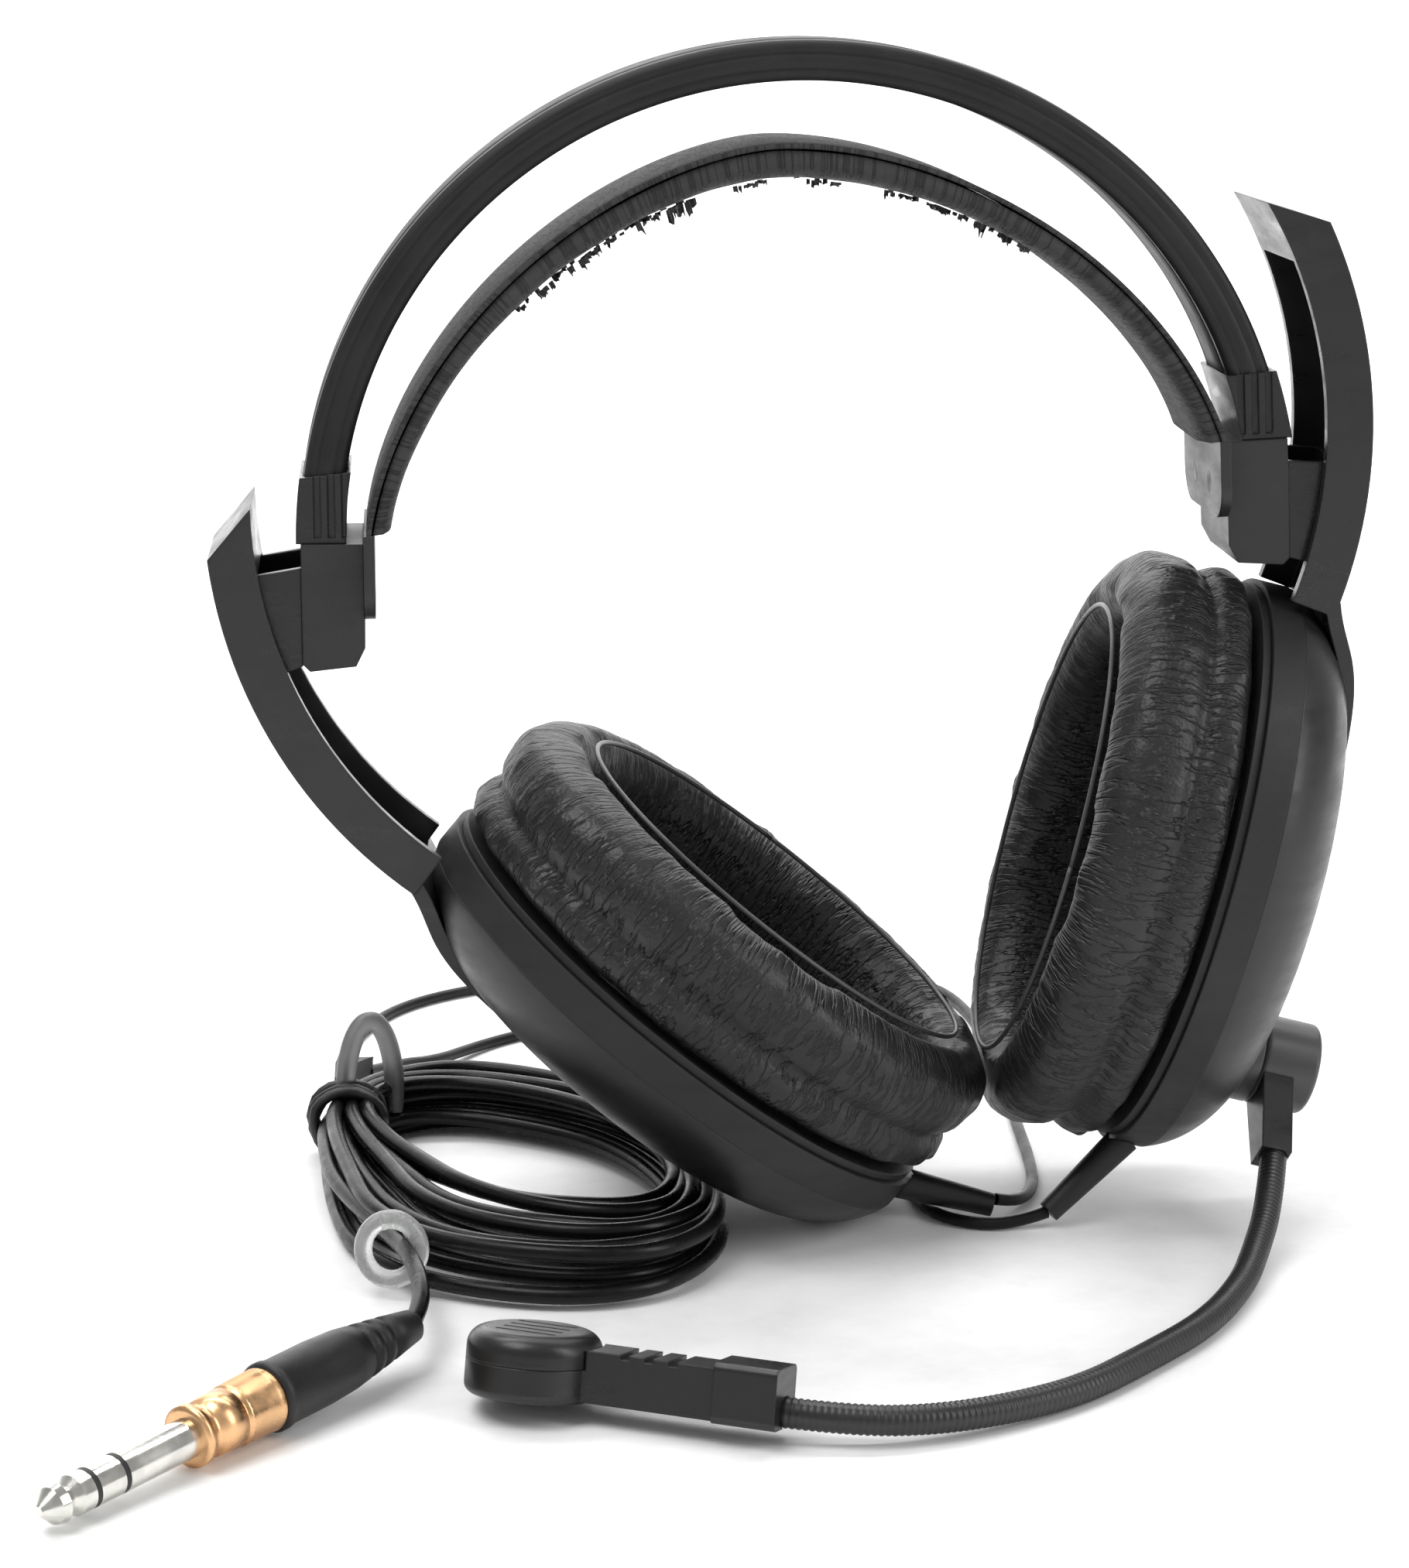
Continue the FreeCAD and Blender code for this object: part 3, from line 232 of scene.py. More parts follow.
def cloth(name, colour, pitch):
    """Open woven cloth: crossed threads, with painted shade between them."""
    material, shader, nodes, links = new_material(name, colour, 0.9)
    heights = []
    for direction in ("X", "Z"):
        wave = nodes.new("ShaderNodeTexWave")
        wave.bands_direction = direction
        wave.inputs["Scale"].default_value = 1 / pitch / 6.3
        wave.inputs["Distortion"].default_value = 0.4
        links.new(place_of(nodes, links), wave.inputs["Vector"])
        heights.append(wave.outputs["Fac"])
    weave = nodes.new("ShaderNodeMath")
    weave.operation = "MAXIMUM"
    links.new(heights[0], weave.inputs[0])
    links.new(heights[1], weave.inputs[1])
    # painted shade: the low parts of the weave, between the threads, are painted darker
    links.new(ramp_of(nodes, links, weave.outputs[0], [(0.2, tuple(c * 0.3 for c in colour)), (0.8, colour)]),
              shader.inputs["Base Color"])
    add_bump(nodes, links, shader, weave.outputs[0], 0.6, 0.0003)
    return material


def jacket(name, colour, roughness):
    """Cable jacket: smooth glossy plastic with faint scuffs."""
    material, shader, nodes, links = new_material(name, colour, roughness)
    shader.inputs["Specular IOR Level"].default_value = 0.22
    scuffs = noise_of(nodes, links, place_of(nodes, links), 240, 6, 0.7)
    links.new(ramp_of(nodes, links, scuffs, [(0.4, colour), (0.75, tuple(c * 1.6 for c in colour))]),
              shader.inputs["Base Color"])
    links.new(range_of(nodes, links, scuffs, roughness - 0.06, roughness + 0.16), shader.inputs["Roughness"])
    add_bump(nodes, links, shader, noise_of(nodes, links, place_of(nodes, links), 1400, 3), 0.1, 0.0001)
    return material


def ridged_rubber(name):
    """Headband cover: soft rubber with ridges that run along the band."""
    colour = grey(0.02)
    material, shader, nodes, links = new_material(name, colour, 0.5)
    shader.inputs["Specular IOR Level"].default_value = 0.25
    where = nodes.new("ShaderNodeTexCoord")
    split = nodes.new("ShaderNodeSeparateXYZ")
    links.new(where.outputs["Object"], split.inputs["Vector"])
    middle = CENTRE.y * MM
    across = range_of(nodes, links, split.outputs["Y"], 0, 1, middle - 0.0104, middle + 0.0104)
    profile = ramp_of(nodes, links, across, [
        (0.0, grey(0.2)), (0.1, grey(0.9)), (0.16, grey(0.2)), (0.22, grey(0.6)), (0.5, grey(0.75)),
        (0.78, grey(0.6)), (0.84, grey(0.2)), (0.9, grey(0.9)), (1.0, grey(0.2))])
    normal = add_bump(nodes, links, shader, profile, 0.8, 0.001)
    place = place_of(nodes, links)
    marks = noise_of(nodes, links, place, 55, 8, 0.7)
    links.new(ramp_of(nodes, links, marks, [(0.3, grey(0.013)), (0.6, colour), (0.8, grey(0.04))]),
              shader.inputs["Base Color"])
    links.new(range_of(nodes, links, marks, 0.38, 0.62), shader.inputs["Roughness"])
    add_bump(nodes, links, shader, noise_of(nodes, links, place, 1900, 3), 0.18, 0.00015, normal)
    return material


def clear_plastic(name, colour, roughness):
    material, shader, nodes, links = new_material(name, colour, roughness)
    haze = noise_of(nodes, links, place_of(nodes, links), 420, 4)
    links.new(ramp_of(nodes, links, haze, [(0.3, tuple(c * 0.85 for c in colour)), (0.7, colour)]),
              shader.inputs["Base Color"])
    links.new(range_of(nodes, links, haze, roughness - 0.1, roughness + 0.1), shader.inputs["Roughness"])
    shader.inputs["Transmission Weight"].default_value = 0.75
    shader.inputs["IOR"].default_value = 1.46
    return material


MATERIALS = {
    "shell_plastic": plastic("shell_plastic", grey(0.010), 0.36, 0.12, 0.5),
    "inner_plastic": plastic("inner_plastic", grey(0.009), 0.5, 0.2, 0.3),
    "arm_plastic": plastic("arm_plastic", grey(0.012), 0.3, 0.12, 0.7),
    "block_plastic": plastic("block_plastic", grey(0.013), 0.42, 0.3, 0.6),
    "ferrule_plastic": plastic("ferrule_plastic", grey(0.008), 0.26, 0.1, 0.5),
    "carriage_plastic": plastic("carriage_plastic", grey(0.007), 0.25, 0.1, 0.4),
    "hub_grey": plastic("hub_grey", grey(0.05), 0.36, 0.12, 0.4),
    "mic_plastic": plastic("mic_plastic", grey(0.008), 0.3, 0.12, 0.5),
    "rubber": plastic("rubber", grey(0.008), 0.46, 0.25, 0.4),
    "band_rubber": ridged_rubber("band_rubber"),
    "pad_vinyl": vinyl("pad_vinyl", grey(0.011)),
    "strap_vinyl": vinyl("strap_vinyl", grey(0.05), gloss=0.15),
    # the sewn piping is real; its lighter grey than the pad vinyl is a painted highlight for the glint along
    # the seam
    "piping": plastic("piping", grey(0.06), 0.3, 0.1, 0.3),
    "flake_vinyl": vinyl("flake_vinyl", grey(0.01), creases=False),
    "cloth": cloth("cloth", grey(0.012), 0.0007),
    "cable_jacket": jacket("cable_jacket", grey(0.004), 0.26),
    "lead_jacket": jacket("lead_jacket", grey(0.008), 0.34),
    "gooseneck_metal": plastic("gooseneck_metal", grey(0.014), 0.34, 0.1, 0.5),
    "plug_gold": metal("plug_gold", (0.86, 0.52, 0.27), 0.27, (1, 1, 1), 1500),
    "plug_steel": metal("plug_steel", (0.78, 0.77, 0.72), 0.18, (1, 1, 1), 1200),
    "screw_steel": metal("screw_steel", (0.5, 0.5, 0.5), 0.35),
    "black_steel": metal("black_steel", (0.03, 0.03, 0.03), 0.4),
    "driver_steel": plastic("driver_steel", grey(0.1), 0.45, 0.2, 0.3),
    "film": plastic("film", (0.5, 0.46, 0.36), 0.3, 0.05, 0.2),
    "clear_tie": clear_plastic("clear_tie", (0.93, 0.94, 0.93), 0.3),
    "grey_tie": clear_plastic("grey_tie", (0.24, 0.24, 0.24), 0.4),
    "floor_paper": plastic("floor_paper", (0.88, 0.88, 0.88), 0.7, 0.02, 0.0, 900),
}


def paint_cad_nodes():
    """Gives every CAD node the material of its slot in the record."""
    for entry in frame["record"]["subparts"]:
        node = frame["nodes"][entry["node"]]
        node.data.materials.clear()
        blackened = "tab_screws" in entry["node"] or "pivot_pin" in entry["node"]
        node.data.materials.append(MATERIALS["black_steel" if blackened else entry["material_slot"]])
        for polygon in node.data.polygons:
            polygon.material_index = 0


# ---------------------------------------------------------------- mesh helpers
def new_object(name, vertices, faces, material, smooth=True):
    mesh = bpy.data.meshes.new(name)
    mesh.from_pydata([tuple(v) for v in vertices], [], faces)
    mesh.materials.append(MATERIALS[material])
    for polygon in mesh.polygons:
        polygon.use_smooth = smooth
    thing = bpy.data.objects.new(name, mesh)
    bpy.context.collection.objects.link(thing)
    return thing


def grid_faces(rows, columns, close_rows, close_columns):
    """Quads of a grid of vertices stored row by row."""
    faces = []
    for i in range(rows if close_rows else rows - 1):
        for j in range(columns if close_columns else columns - 1):
            a, b = i, (i + 1) % rows
            c, d = j, (j + 1) % columns
            faces.append((a * columns + c, a * columns + d, b * columns + d, b * columns + c))
    return faces


def swept_tube(name, line, radius_of, sides, material):
    """A closed tube along a line, its radius given by each point's number."""
    vertices = []
    side = Vector((0, 0, 1))
    for i, point in enumerate(line):
        ahead = line[min(i + 1, len(line) - 1)] - line[max(i - 1, 0)]
        ahead.normalize()
        side = (side - ahead * side.dot(ahead)).normalized()
        other = ahead.cross(side)
        for j in range(sides):
            turn = 2 * math.pi * j / sides
            vertices.append(point + (side * math.cos(turn) + other * math.sin(turn)) * radius_of(i))
    faces = grid_faces(len(line), sides, False, True)
    faces.append(tuple(reversed(range(sides))))
    faces.append(tuple(range((len(line) - 1) * sides, len(line) * sides)))
    return new_object(name, vertices, faces, material)


def cup_matrix(seat, lean, turn, mirrored):
    """Local +Y runs up the cup's long axis and +Z through the pad towards the head."""
    up = Vector((math.sin(math.radians(lean)), 0, math.cos(math.radians(lean))))
    inward = Vector((-up.z, 0, up.x))
    if mirrored:
        up.x = -up.x
        inward.x = -inward.x
    across = up.cross(inward)
    turned = Matrix((across, up, inward)).transposed() @ Matrix.Rotation(math.radians(turn), 3, "Y")
    return Matrix.Translation(at(seat[0], 0, seat[1])) @ turned.to_4x4()


CUPS = {
    "left": cup_matrix((-18.0, 41.25), 51.3, -5.0, True),
    "right": cup_matrix((68.2, 63.9), 14.8, 0.0, False),
}


# ---------------------------------------------------------------- cords
LEADS = {
    "left": [
        (36.0, -8.0, 3.2), (40.5, -5.2, 1.5), (44.8, 3.0, 1.2), (46.8, 18.0, 1.2), (48.0, 44.0, 1.2),
        (50.5, 84.0, 1.2), (50.6, 122.0, 1.2), (44.5, 146.0, 1.2), (24.0, 154.6, 1.2), (-12.0, 156.0, 1.2),
        (-46.0, 152.4, 1.2), (-68.0, 139.0, 1.2), (-78.6, 118.0, 1.2), (-82.4, 96.0, 1.6), (-82.2, 78.0, 4.4),
        (-80.6, 66.0, 7.6)],
    "right": [
        (44.3, -14.8, 2.8), (38.5, -16.4, 1.4), (31.0, -15.6, 1.2), (24.5, -9.6, 1.2), (22.2, 4.0, 1.2),
        (22.8, 24.0, 1.2), (19.0, 46.0, 1.2), (7.0, 72.0, 1.2), (-10.0, 96.0, 1.2), (-27.0, 111.5, 1.2),
        (-42.0, 114.5, 1.2), (-54.0, 104.5, 1.2), (-63.0, 89.5, 2.6), (-71.5, 77.5, 5.6), (-76.8, 66.0, 7.6)],
}
LEAD_DIAMETER = 2.2
CABLE_DIAMETER = 3.0
SPLIT_END = (-79.0, 56.0, 7.8)
CABLE_TAIL = [
    (-71.5, -36.0, 8.0), (-69.4, -46.0, 8.8), (-67.8, -58.0, 9.0), (-67.6, -69.0, 8.2), (-69.3, -76.2, 7.6)]
TURNS = 12
POINTS_PER_TURN = 16
# outside and inside of the coil at places round it, from the rear left by way of the left and the front
COIL_RIM = [
    ((-83, 44), (-76, 42)), ((-85, 20), (-71, 18)), ((-83, -10), (-60, 2)), ((-77, -38), (-50, -8)),
    ((-50, -56), (-40, -15)), ((-28, -53), (-31, -18)), ((-15, -36), (-25, -14)), ((-13, -8), (-23, -4)),
    ((-17, 18), (-25, 8)), ((-26, 40), (-32, 24)), ((-42, 58), (-42, 36)), ((-66, 66), (-60, 46)),
]
COIL_START = 0.35                      # places of the rim where the first turn starts and the last one ends
COIL_END = 2.55
COIL_SEED = 7                          # noise_vector follows the clock unless it is seeded
STRAY = 1.6                            # how far a turn wanders from its neat place


def spline_object(name, points, diameter, material):
    """An open NURBS curve through control points, with a round section."""
    curve = bpy.data.curves.new(name, "CURVE")
    curve.dimensions = "3D"
    curve.resolution_u = 6
    curve.bevel_depth = 1.0
    curve.bevel_resolution = 4
    spline = curve.splines.new("NURBS")
    spline.points.add(len(points) - 1)
    for slot, point in zip(spline.points, points):
        slot.co = (*at(*point), 1)
        slot.radius = diameter * MM / 2
    spline.order_u = 3
    spline.use_endpoint_u = True
    curve.materials.append(MATERIALS[material])
    thing = bpy.data.objects.new(name, curve)
    bpy.context.collection.objects.link(thing)
    return thing


def followed(thing):
    """Points along a curve object's own line."""
    depth = thing.data.bevel_depth
    thing.data.bevel_depth = 0
    mesh = bpy.data.meshes.new_from_object(thing)
    thing.data.bevel_depth = depth
    points = [v.co.copy() for v in mesh.vertices]
    bpy.data.meshes.remove(mesh)
    return points


def line_length(points):
    return sum((b - a).length for a, b in zip(points, points[1:]))


def rim_point(place, share):
    """A point of the coil between its outside (share 0) and inside (share 1)."""
    count = len(COIL_RIM)
    start = int(place)
    along = place - start
    corners = []
    for offset in (-1, 0, 1, 2):
        outer, inner = COIL_RIM[(start + offset) % count]
        corners.append(Vector(outer).lerp(Vector(inner), share))
    before, first, second, after = corners
    square, cube = along ** 2, along ** 3
    return 0.5 * (2 * first + (second - before) * along
                  + (2 * before - 5 * first + 4 * second - after) * square
                  + (3 * first - before - 3 * second + after) * cube)


def smooth_step(value, low, high):
    share = min(1.0, max(0.0, (value - low) / (high - low)))
    return share * share * (3 - 2 * share)


def below_shell(point):
    """Keeps a coil point clear of the left cup that leans over it."""
    shell = frame["nodes"]["left_outer_shell"]
    lowest = CABLE_DIAMETER * 0.55
    for _ in range(12):
        start = at(point.x, point.y, -5)
        hit, where, _, _ = shell.ray_cast(start, Vector((0, 0, 1)))
        room = where.z / MM - 1.4 * CABLE_DIAMETER if hit else 100.0
        if room >= lowest:
            break
        point.x -= 2.0
    point.z = max(lowest, min(point.z, room))
    return point


def coil_points():
    """Turns that go inwards in two low layers, then outwards again in two upper ones."""
    noise.seed_set(COIL_SEED)
    per_place = len(COIL_RIM) / POINTS_PER_TURN
    last = int((TURNS * len(COIL_RIM) + COIL_END - COIL_START) / per_place)
    points = []
    for step in range(last + 1):
        place = COIL_START + step * per_place
        turn = place / len(COIL_RIM)
        half = TURNS / 2
        share = turn / half if turn < half else max(0.0, 2 - turn / half)
        layer = 1 - abs(turn % 2 - 1) + 2 * smooth_step(turn, half - 0.5, half + 0.5)
        angle = 2 * math.pi * place / len(COIL_RIM)
        stray = noise.noise_vector(Vector((math.cos(angle) * 1.4, math.sin(angle) * 1.4, turn * 0.8)))
        spot = rim_point(place, 0.06 + 0.88 * share)
        height = CABLE_DIAMETER * (0.55 + 0.95 * layer)
        loose = Vector((spot.x + STRAY * stray.x, spot.y + STRAY * stray.y, height + STRAY / 2 * stray.z))
        points.append(below_shell(loose))
    return [tuple(point) for point in points]


def build_cords():
    for side, points in LEADS.items():
        lead = spline_object(side + "_lead_cord", points, LEAD_DIAMETER, "lead_jacket")
        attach(lead, "left_cup")
        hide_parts(side + "_lead")
        line_length(followed(lead))
    points = [SPLIT_END] + coil_points() + CABLE_TAIL
    cable = spline_object("cable", points, CABLE_DIAMETER, "cable_jacket")
    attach(cable, "left_cup")
    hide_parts("cable_coil", "main_cable")
    length = line_length(followed(cable))
    plug = [
        frame["nodes"]["plug_shank"], frame["nodes"]["plug_insulators"],
        plug_piece("plug_rubber_grip", GRIP_PROFILE, "plug_grip", "rubber"),
        plug_piece("plug_gold_sleeve", SLEEVE_PROFILE, "plug_sleeve", "plug_gold", KNURL_START)]
    plug += build_ties()


BUNDLE_AT = (-80.5, 38.0, 6.9)         # middle of the tied bundle at the rear
BUNDLE_HALF = (6.6, 6.0)
KNOT_TURNS = 4
KNOT_STEPS = 24                        # points in each turn of the knot
KNOT_WIDTH = 8.0
ARCH_STEPS = 40
ARCH_HALF_TURN = 0.62                  # of pi, each side of the arch's top
ARCH_HALF = (4.6, 2.5, 13.5)
RING_AT = (-72.6, -39.5, 8.4)
RING_STEPS = 40                        # points in one turn of the ring
RING_POINTS = 52
RING_REACH = (4.3, 5.2)                # radius at its two ends
RING_PULL = 3.5                        # how far it runs forward along the cable


def loop_tube(name, points, radius, material):
    line = [at(*point) for point in points]
    tube = swept_tube(name, line, lambda i: radius * MM, 12, material)
    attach(tube, "left_cup")
    return tube


def knot_points():
    x, y, z = BUNDLE_AT
    half_x, half_z = BUNDLE_HALF
    points = []
    last = KNOT_TURNS * KNOT_STEPS
    for step in range(last + 1):
        turn = 2 * math.pi * step / KNOT_STEPS
        loose = 1 + 0.06 * math.sin(3.3 * turn)
        wander = KNOT_WIDTH * (step / last - 0.5) + 1.2 * math.sin(1.3 * turn)
        points.append((x + half_x * loose * math.cos(turn), y + wander,
                       z + half_z * min(loose, 1.0) * math.sin(turn)))
    return points


def arch_points():
    x, y, z = BUNDLE_AT
    wide, deep, tall = ARCH_HALF
    points = []
    for step in range(ARCH_STEPS + 1):
        turn = math.pi * (0.5 + ARCH_HALF_TURN * (1 - 2 * step / ARCH_STEPS))
        points.append((x + 4.2 + wide * math.cos(turn), y + 5 + deep * math.cos(turn),
                       z + 4 + tall * math.sin(turn)))
    return points


def ring_points():
    x, y, z = RING_AT
    first, last = RING_REACH
    points = []
    for step in range(RING_POINTS + 1):
        turn = 2 * math.pi * step / RING_STEPS
        reach = first + (last - first) * step / RING_POINTS
        forward = RING_PULL * step / RING_POINTS
        points.append((x + reach * math.cos(turn), y - forward + 1.5 * math.sin(turn),
                       z + reach * math.sin(turn)))
    return points


def build_ties():
    """A wound knot with a translucent loop at the rear, and a clear ring at the front."""
    knot = loop_tube("tie_knot", knot_points(), 0.95, "rubber")
    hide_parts("rear_tie")
    loop = loop_tube("tie_loop", arch_points(), 1.9, "grey_tie")
    clear = loop_tube("tie_ring", ring_points(), 1.6, "clear_tie")
    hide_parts("front_tie")
    return [knot, loop, clear]


# ---------------------------------------------------------------- ear pads
PAD_LENGTH = 109.0
PAD_WIDTH = 88.0
# one section of the pad: how far in from the outside, or out from the opening, at each height
PAD_SECTION = [
    ("out", 1.4, 0.6), ("out", 1.3, 4.6), ("out", 3.2, 9.4), ("out", 1.1, 14.5), ("out", 1.5, 19.0),
    ("out", 4.6, 23.0), ("out", 9.2, 24.4), ("in", 1.5, 23.4), ("in", -0.2, 20.0), ("in", -1.2, 11.0),
    ("in", -1.6, 2.5), ("in", 1.4, 1.4)]
PAD_CREASE = 9.4
PADS_MEET = 34.7       # the two pads press against each other here


def pad_point(angle, kind, step, height):
    if kind == "out":
        half_long, half_short = PAD_LENGTH / 2 - step, PAD_WIDTH / 2 - step
    else:
        half_long, half_short = 40.0 + step, 29.0 + step
    return Vector((half_short * math.cos(angle), half_long * math.sin(angle), height)) * MM


def pad_start():
    """The pad's sewn shape, a little smaller than the stuffed one."""
    around = 72
    vertices = []
    for i in range(around):
        for kind, step, height in PAD_SECTION:
            vertices.append(pad_point(2 * math.pi * i / around, kind, step, height))
    return vertices, grid_faces(around, len(PAD_SECTION), True, True)


def stuff(piece, voxel, pressure, cap):
    """Remeshes a closed piece and swells it as cloth under pressure, no point moving further than cap."""
    remesh = piece.modifiers.new("remesh", "REMESH")
    remesh.mode = "VOXEL"
    remesh.voxel_size = voxel
    apply_modifiers(piece)
    before = [v.co.copy() for v in piece.data.vertices]
    cloth_modifier = piece.modifiers.new("cloth", "CLOTH")
    settings = cloth_modifier.settings
    settings.quality = 5
    settings.mass = 0.2
    settings.use_pressure = True
    settings.uniform_pressure_force = pressure
    settings.effector_weights.gravity = 0
    settings.tension_stiffness = 15
    settings.compression_stiffness = 15
    settings.bending_stiffness = 0.5
    scene = bpy.context.scene
    for number in range(1, 16):
        scene.frame_set(number)
    apply_modifiers(piece)
    scene.frame_set(1)
    for vertex, start in zip(piece.data.vertices, before):
        move = vertex.co - start
        if move.length > cap:
            vertex.co = start + move.normalized() * cap


def apply_modifiers(piece):
    graph = bpy.context.evaluated_depsgraph_get()
    mesh = bpy.data.meshes.new_from_object(piece.evaluated_get(graph))
    old = piece.data
    piece.modifiers.clear()
    piece.data = mesh
    bpy.data.meshes.remove(old)


def pad_uv(mesh):
    """U runs round the pad and V across it, so creases can cross the roll."""
    layer = mesh.uv_layers.new(name="UVMap")
    for polygon in mesh.polygons:
        turns = []
        for loop in polygon.loop_indices:
            co = mesh.vertices[mesh.loops[loop].vertex_index].co
            turns.append(math.atan2(co.y / PAD_LENGTH, co.x / PAD_WIDTH) / (2 * math.pi))
        if max(turns) - min(turns) > 0.5:
            turns = [turn + 1 if turn < 0 else turn for turn in turns]
        for loop, turn in zip(polygon.loop_indices, turns):
            co = mesh.vertices[mesh.loops[loop].vertex_index].co
            layer.data[loop].uv = (turn, co.z / 0.024)


def crease(mesh):
    """Wrinkles across the roll, and the pinched line between its two bulges."""
    for vertex in mesh.vertices:
        co = vertex.co
        angle = math.atan2(co.y / PAD_LENGTH, co.x / PAD_WIDTH)
        reach = math.hypot(co.x / (PAD_WIDTH / 2), co.y / (PAD_LENGTH / 2)) / MM
        outside = smooth_step(reach, 0.8, 0.95)
        east, north = math.cos(angle), math.sin(angle)
        pucker = noise.noise(Vector((east * 24, north * 24, co.z * 50)))
        wrinkle = 1 - min(1.0, 5 * abs(noise.noise(Vector((east * 30, north * 30, co.z * 35 + 3)))))
        pinch = math.exp(-((co.z / MM - PAD_CREASE) / 1.5) ** 2)
        outward = Vector((co.x / PAD_WIDTH ** 2, co.y / PAD_LENGTH ** 2, 0)).normalized()
        sink = 0.12 * wrinkle - 0.2 * pucker + 1.3 * pinch
        vertex.co = co - outward * (outside * sink * MM)
        vertex.co.z += (1 - outside) * (0.12 * pucker - 0.1 * wrinkle) * MM


def piping(side):
    """The sewn edge round the ear opening, in a lighter grey that is a painted highlight for the glint along
    it.
    """
    line = []
    for step in range(121):
        turn = 2 * math.pi * step / 120
        line.append(CUPS[side] @ (Vector((30.2 * math.cos(turn), 41.2 * math.sin(turn), 24.3)) * MM))
    seam = swept_tube(side + "_pad_piping", line, lambda i: 0.45 * MM, 8, "piping")
    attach(seam, side + "_cup")


def build_pads():
    vertices, faces = pad_start()
    source = new_object("pad_source", vertices, faces, "pad_vinyl")
    stuff(source, 0.004, 4.0, 0.0014)
    source.modifiers.new("smooth", "SUBSURF").levels = 2
    apply_modifiers(source)
    crease(source.data)
    pad_uv(source.data)
    for polygon in source.data.polygons:
        polygon.use_smooth = True
    meeting = at(PADS_MEET, 0, 0).x
    for side, facing in (("left", 1), ("right", -1)):
        mesh = source.data.copy()
        mesh.transform(CUPS[side])
        for vertex in mesh.vertices:
            over = facing * (vertex.co.x - meeting) + 0.2 * MM
            if over > 0:
                vertex.co.x -= facing * over
        pad = bpy.data.objects.new(side + "_pad_cover", mesh)
        bpy.context.collection.objects.link(pad)
        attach(pad, side + "_cup")
        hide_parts(side + "_ear_pad")
        piping(side)
    bpy.data.objects.remove(source)


# ---------------------------------------------------------------- strap
BAND_AT = (0.0, 124.9)
ENDS_ROLL = 5.7
STRAP_OUTER = (75.5, 67.4)
STRAP_MIDDLE = (74.3, 66.2)
STRAP_INNER = (71.0, 60.8)
STRAP_LEVEL = 9.0
STRAP_PEAK = 8 / 7
STRAP_HALF = 16.0


def strap_point(share, depth, across, curve_pair):
    """A point of the strap: share along it, depth from its outer to its inner curve, and across it."""
    outer, inner = curve_pair
    half_span = outer[0] + (inner[0] - outer[0]) * depth
    half_rise = outer[1] + (inner[1] - outer[1]) * depth
    start = math.asin((STRAP_LEVEL / half_rise) ** (1 / STRAP_PEAK))
    angle = math.pi - start - share * (math.pi - 2 * start)
    along = math.cos(angle)
    x = math.copysign(half_span * abs(along) ** STRAP_PEAK, along)
    z = half_rise * math.sin(angle) ** STRAP_PEAK
    roll = math.radians(ENDS_ROLL)
    return at(BAND_AT[0] + x * math.cos(roll) - z * math.sin(roll), across,
              BAND_AT[1] + x * math.sin(roll) + z * math.cos(roll))


def strap_mesh(name, section, curves, material, steps=140, ruffle=0.0):
    """Sweeps a closed section, given as (across share, depth share) pairs, along the strap."""
    vertices = []
    for i in range(steps + 1):
        share = i / steps
        for across, depth in section:
            point = strap_point(share, depth, across * STRAP_HALF, curves)
            point.z += ruffle * noise.noise(Vector((share * 18, across * 2, depth * 3)))
            vertices.append(point)
    faces = grid_faces(steps + 1, len(section), False, True)
    count = len(section)
    faces.append(tuple(range(count)))
    faces.append(tuple(reversed(range(steps * count, (steps + 1) * count))))
    piece = new_object(name, vertices, faces, material)
    layer = piece.data.uv_layers.new(name="UVMap")
    for loop in piece.data.loops:
        index = loop.vertex_index
        layer.data[loop.index].uv = (index // count / steps, section[index % count][0] * 0.5)
    return piece


def round_section(corners, depth_low, depth_high, swell):
    """A flat closed loop with rounded ends and a slightly full underside."""
    section = []
    for i in range(corners):
        across = -1 + 2 * i / (corners - 1)
        section.append((across * 0.98, depth_low))
    for i in range(corners):
        across = 1 - 2 * i / (corners - 1)
        fullness = 1 - swell * abs(across) ** 6
        section.append((across, depth_low + (depth_high - depth_low) * fullness))
    return section


def build_strap():
    skin = strap_mesh("strap_cover", round_section(9, 0.06, 0.94, 0.2), (STRAP_OUTER, STRAP_MIDDLE),
                      "strap_vinyl")
    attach(skin, "headband")
    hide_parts("strap_skin")
    lining = strap_mesh("strap_lining", round_section(13, 0.02, 0.93, 0.45), (STRAP_MIDDLE, STRAP_INNER),
                        "strap_vinyl", ruffle=0.0003)
    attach(lining, "headband")
    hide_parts("strap_pad")
    build_flakes()


FLAKE_RUNS = [(0.24, 0.30, 12, 2.6), (0.30, 0.42, 40, 1.5), (0.46, 0.50, 8, 1.2), (0.54, 0.58, 8, 1.0),
              (0.62, 0.76, 34, 1.1)]


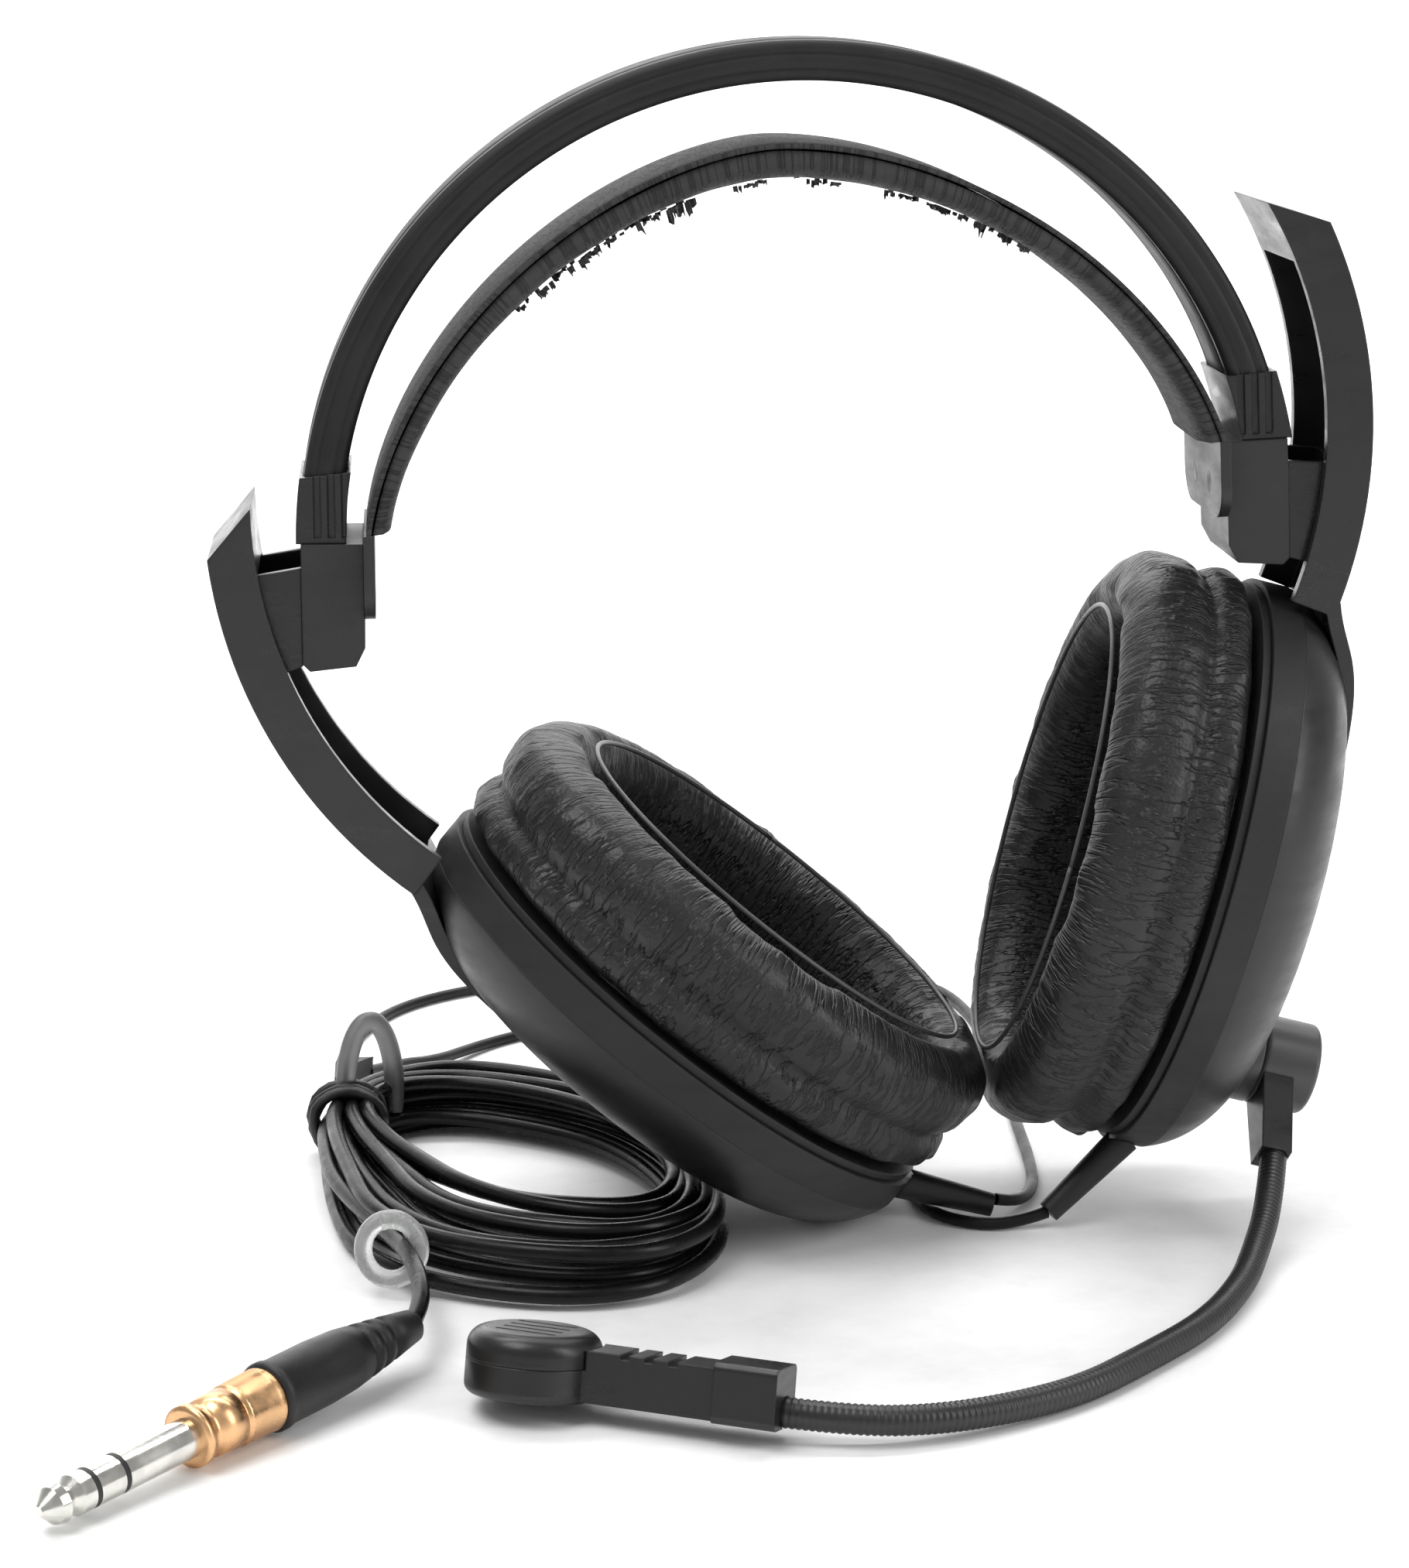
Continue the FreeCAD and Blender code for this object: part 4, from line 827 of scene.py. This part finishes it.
def build_flakes():
    """Scraps of lining that have cracked and curled away along the strap's lower front edge."""
    vertices, faces = [], []
    for run, (first, last, count, size) in enumerate(FLAKE_RUNS):
        for i in range(count):
            seed = Vector((run * 7.3, i * 3.1, 0.5))
            share = first + (last - first) * (i + 0.5 * noise.noise(seed)) / count
            reach = size * (0.3 + 2.4 * abs(noise.noise(seed * 1.7 + Vector((5, 0, 0)))))
            width = 0.0035 + 0.006 * abs(noise.noise(seed * 2.3 + Vector((0, 9, 0))))
            across = -STRAP_HALF + 1.0 + 22 * abs(noise.noise(seed * 0.9 + Vector((0, 0, 4))))
            base = len(vertices)
            for step in range(4):
                spot = share + width * (step / 3 - 0.5)
                jag = noise.noise(seed * 5 + Vector((step, 2, 1)))
                top = strap_point(spot, 0.93, across, (STRAP_MIDDLE, STRAP_INNER))
                hang = 0.95 + 0.19 * reach * (0.5 + abs(jag))
                drop = strap_point(spot + 0.4 * width * jag, hang, across + 1.2 * jag,
                                   (STRAP_MIDDLE, STRAP_INNER))
                vertices += [top, drop]
            for step in range(3):
                a = base + 2 * step
                faces.append((a, a + 2, a + 3, a + 1))
    flakes = new_object("strap_flakes", vertices, faces, "flake_vinyl", smooth=False)
    flakes.modifiers.new("thickness", "SOLIDIFY").thickness = 0.00025
    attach(flakes, "headband")


# ---------------------------------------------------------------- headband
BAND_ROLL = 8.0
BAND_OUTER = (86.0, 84.0)
BAND_INNER = (78.8, 77.2)
BAND_ENDS = (17.4, 10.5)       # where the rubber stops inside the left and the right ferrule
BAND_HALF = 10.4
# one side of the rubber's section: across the band, then depth from its outer to its inner curve
BAND_EDGE = [
    (0.30, -0.02), (0.62, -0.02), (0.66, 0.05), (0.70, -0.01), (0.86, 0.02), (0.96, 0.12), (1.0, 0.26),
    (0.965, 0.31), (1.0, 0.36), (1.01, 0.52), (1.0, 0.66), (0.965, 0.71), (1.0, 0.76), (0.97, 0.90),
    (0.86, 1.0)]


def band_point(share, depth, across):
    half_span = BAND_OUTER[0] + (BAND_INNER[0] - BAND_OUTER[0]) * depth
    half_rise = BAND_OUTER[1] + (BAND_INNER[1] - BAND_OUTER[1]) * depth
    left, right = (math.asin(level / half_rise) for level in BAND_ENDS)
    angle = math.pi - left - share * (math.pi - left - right)
    x, z = half_span * math.cos(angle), half_rise * math.sin(angle)
    roll = math.radians(BAND_ROLL)
    return at(BAND_AT[0] + x * math.cos(roll) - z * math.sin(roll), across * BAND_HALF,
              BAND_AT[1] + x * math.sin(roll) + z * math.cos(roll))


def build_headband():
    section = BAND_EDGE + [(-across, depth) for across, depth in reversed(BAND_EDGE)]
    steps = 160
    vertices = []
    for i in range(steps + 1):
        for across, depth in section:
            vertices.append(band_point(i / steps, depth, across))
    faces = grid_faces(steps + 1, len(section), False, True)
    faces.append(tuple(range(len(section))))
    faces.append(tuple(reversed(range(steps * len(section), (steps + 1) * len(section)))))
    cover = new_object("headband_rubber", vertices, faces, "band_rubber")
    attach(cover, "headband")
    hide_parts("headband")


# ---------------------------------------------------------------- plug
PLUG_TIP = (-123.7, -139.3, 3.9)
PLUG_HEADING = 49.0
PLUG_RISE = 2.6
GRIP_PROFILE = [
    (48.2, 0.0), (48.2, 5.3), (48.8, 5.7), (49.8, 5.7), (50.2, 5.4), (60.0, 5.4), (66.0, 5.1), (69.0, 4.7),
    (69.3, 4.0), (70.3, 4.0), (70.6, 4.5), (72.0, 4.3), (72.3, 3.6), (73.3, 3.6), (73.6, 4.1), (75.0, 3.9),
    (75.3, 3.2), (76.3, 3.2), (76.6, 3.7), (79.0, 3.3), (82.8, 2.7), (83.4, 2.2), (83.4, 0.0)]
SLEEVE_PROFILE = [
    (30.9, 0.0), (30.9, 4.0), (31.1, 4.9), (32.4, 4.9), (32.6, 4.1), (34.6, 4.1), (34.9, 4.6), (39.5, 4.9),
    (39.7, 4.6), (40.1, 4.6), (40.3, 5.0), (47.6, 5.2), (48.2, 5.0), (48.2, 0.0)]
KNURL_START = 40.3


def plug_piece(name, profile, node, material, knurl_from=None):
    """A turned piece on the plug's axis, with an optional knurled stretch."""
    heading, rise = math.radians(PLUG_HEADING), math.radians(PLUG_RISE)
    along = Vector((math.cos(heading) * math.cos(rise), math.sin(heading) * math.cos(rise), math.sin(rise)))
    side = Vector((-math.sin(heading), math.cos(heading), 0))
    other = along.cross(side)
    rows = []
    for (start, first), (end, second) in zip(profile, profile[1:]):
        count = 12 if knurl_from is not None and start >= knurl_from and end - start > 2 else 1
        for i in range(count):
            rows.append((start + (end - start) * i / count, first + (second - first) * i / count))
    rows.append(profile[-1])
    around = 72
    vertices = []
    for i, (distance, radius) in enumerate(rows):
        for j in range(around):
            turn = 2 * math.pi * j / around
            knurled = knurl_from is not None and knurl_from < distance < 47.5
            reach = radius - (0.22 if knurled and (i + j) % 2 else 0.0)
            spoke = side * math.cos(turn) + other * math.sin(turn)
            vertices.append(at(*PLUG_TIP) + (along * distance + spoke * reach) * MM)
    piece = new_object(name, vertices, grid_faces(len(rows), around, False, True), material)
    piece.data.validate()
    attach(piece, "left_cup")
    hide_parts(node)
    return piece


# ---------------------------------------------------------------- gooseneck
GOOSENECK = [
    (84.4, -18.0, 13.4), (81.0, -30.5, 8.0), (76.3, -42.0, 4.2), (71.5, -54.0, 2.52), (61.7, -72.2, 2.52),
    (48.5, -87.1, 2.52), (35.9, -100.4, 2.6), (22.5, -108.6, 3.0), (9.6, -113.6, 3.6), (-2.4, -114.8, 4.4),
    (-13.0, -111.9, 5.0),
]
GOOSENECK_RADIUS = 2.45
RING_PITCH = 1.05


def evenly(points, spacing):
    """Points a fixed distance apart along a line of points."""
    out = [points[0]]
    carried = 0.0
    for a, b in zip(points, points[1:]):
        step = (b - a).length
        while carried + spacing <= step:
            carried += spacing
            out.append(a.lerp(b, carried / step))
        carried -= step
    return out


def build_gooseneck():
    guide = spline_object("gooseneck_guide", GOOSENECK, 5.0, "gooseneck_metal")
    line = evenly(followed(guide), RING_PITCH / 4 * MM)
    bpy.data.objects.remove(guide)
    rings = (1.0, 0.97, 0.91, 0.97)
    tube = swept_tube("gooseneck_rings", line, lambda i: GOOSENECK_RADIUS * MM * rings[i % 4], 20,
                      "gooseneck_metal")
    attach(tube, "boom")
    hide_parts("gooseneck")


# ---------------------------------------------------------------- build
build_camera()
build_stage()
paint_cad_nodes()
build_cords()
build_pads()
build_strap()
build_headband()
build_gooseneck()
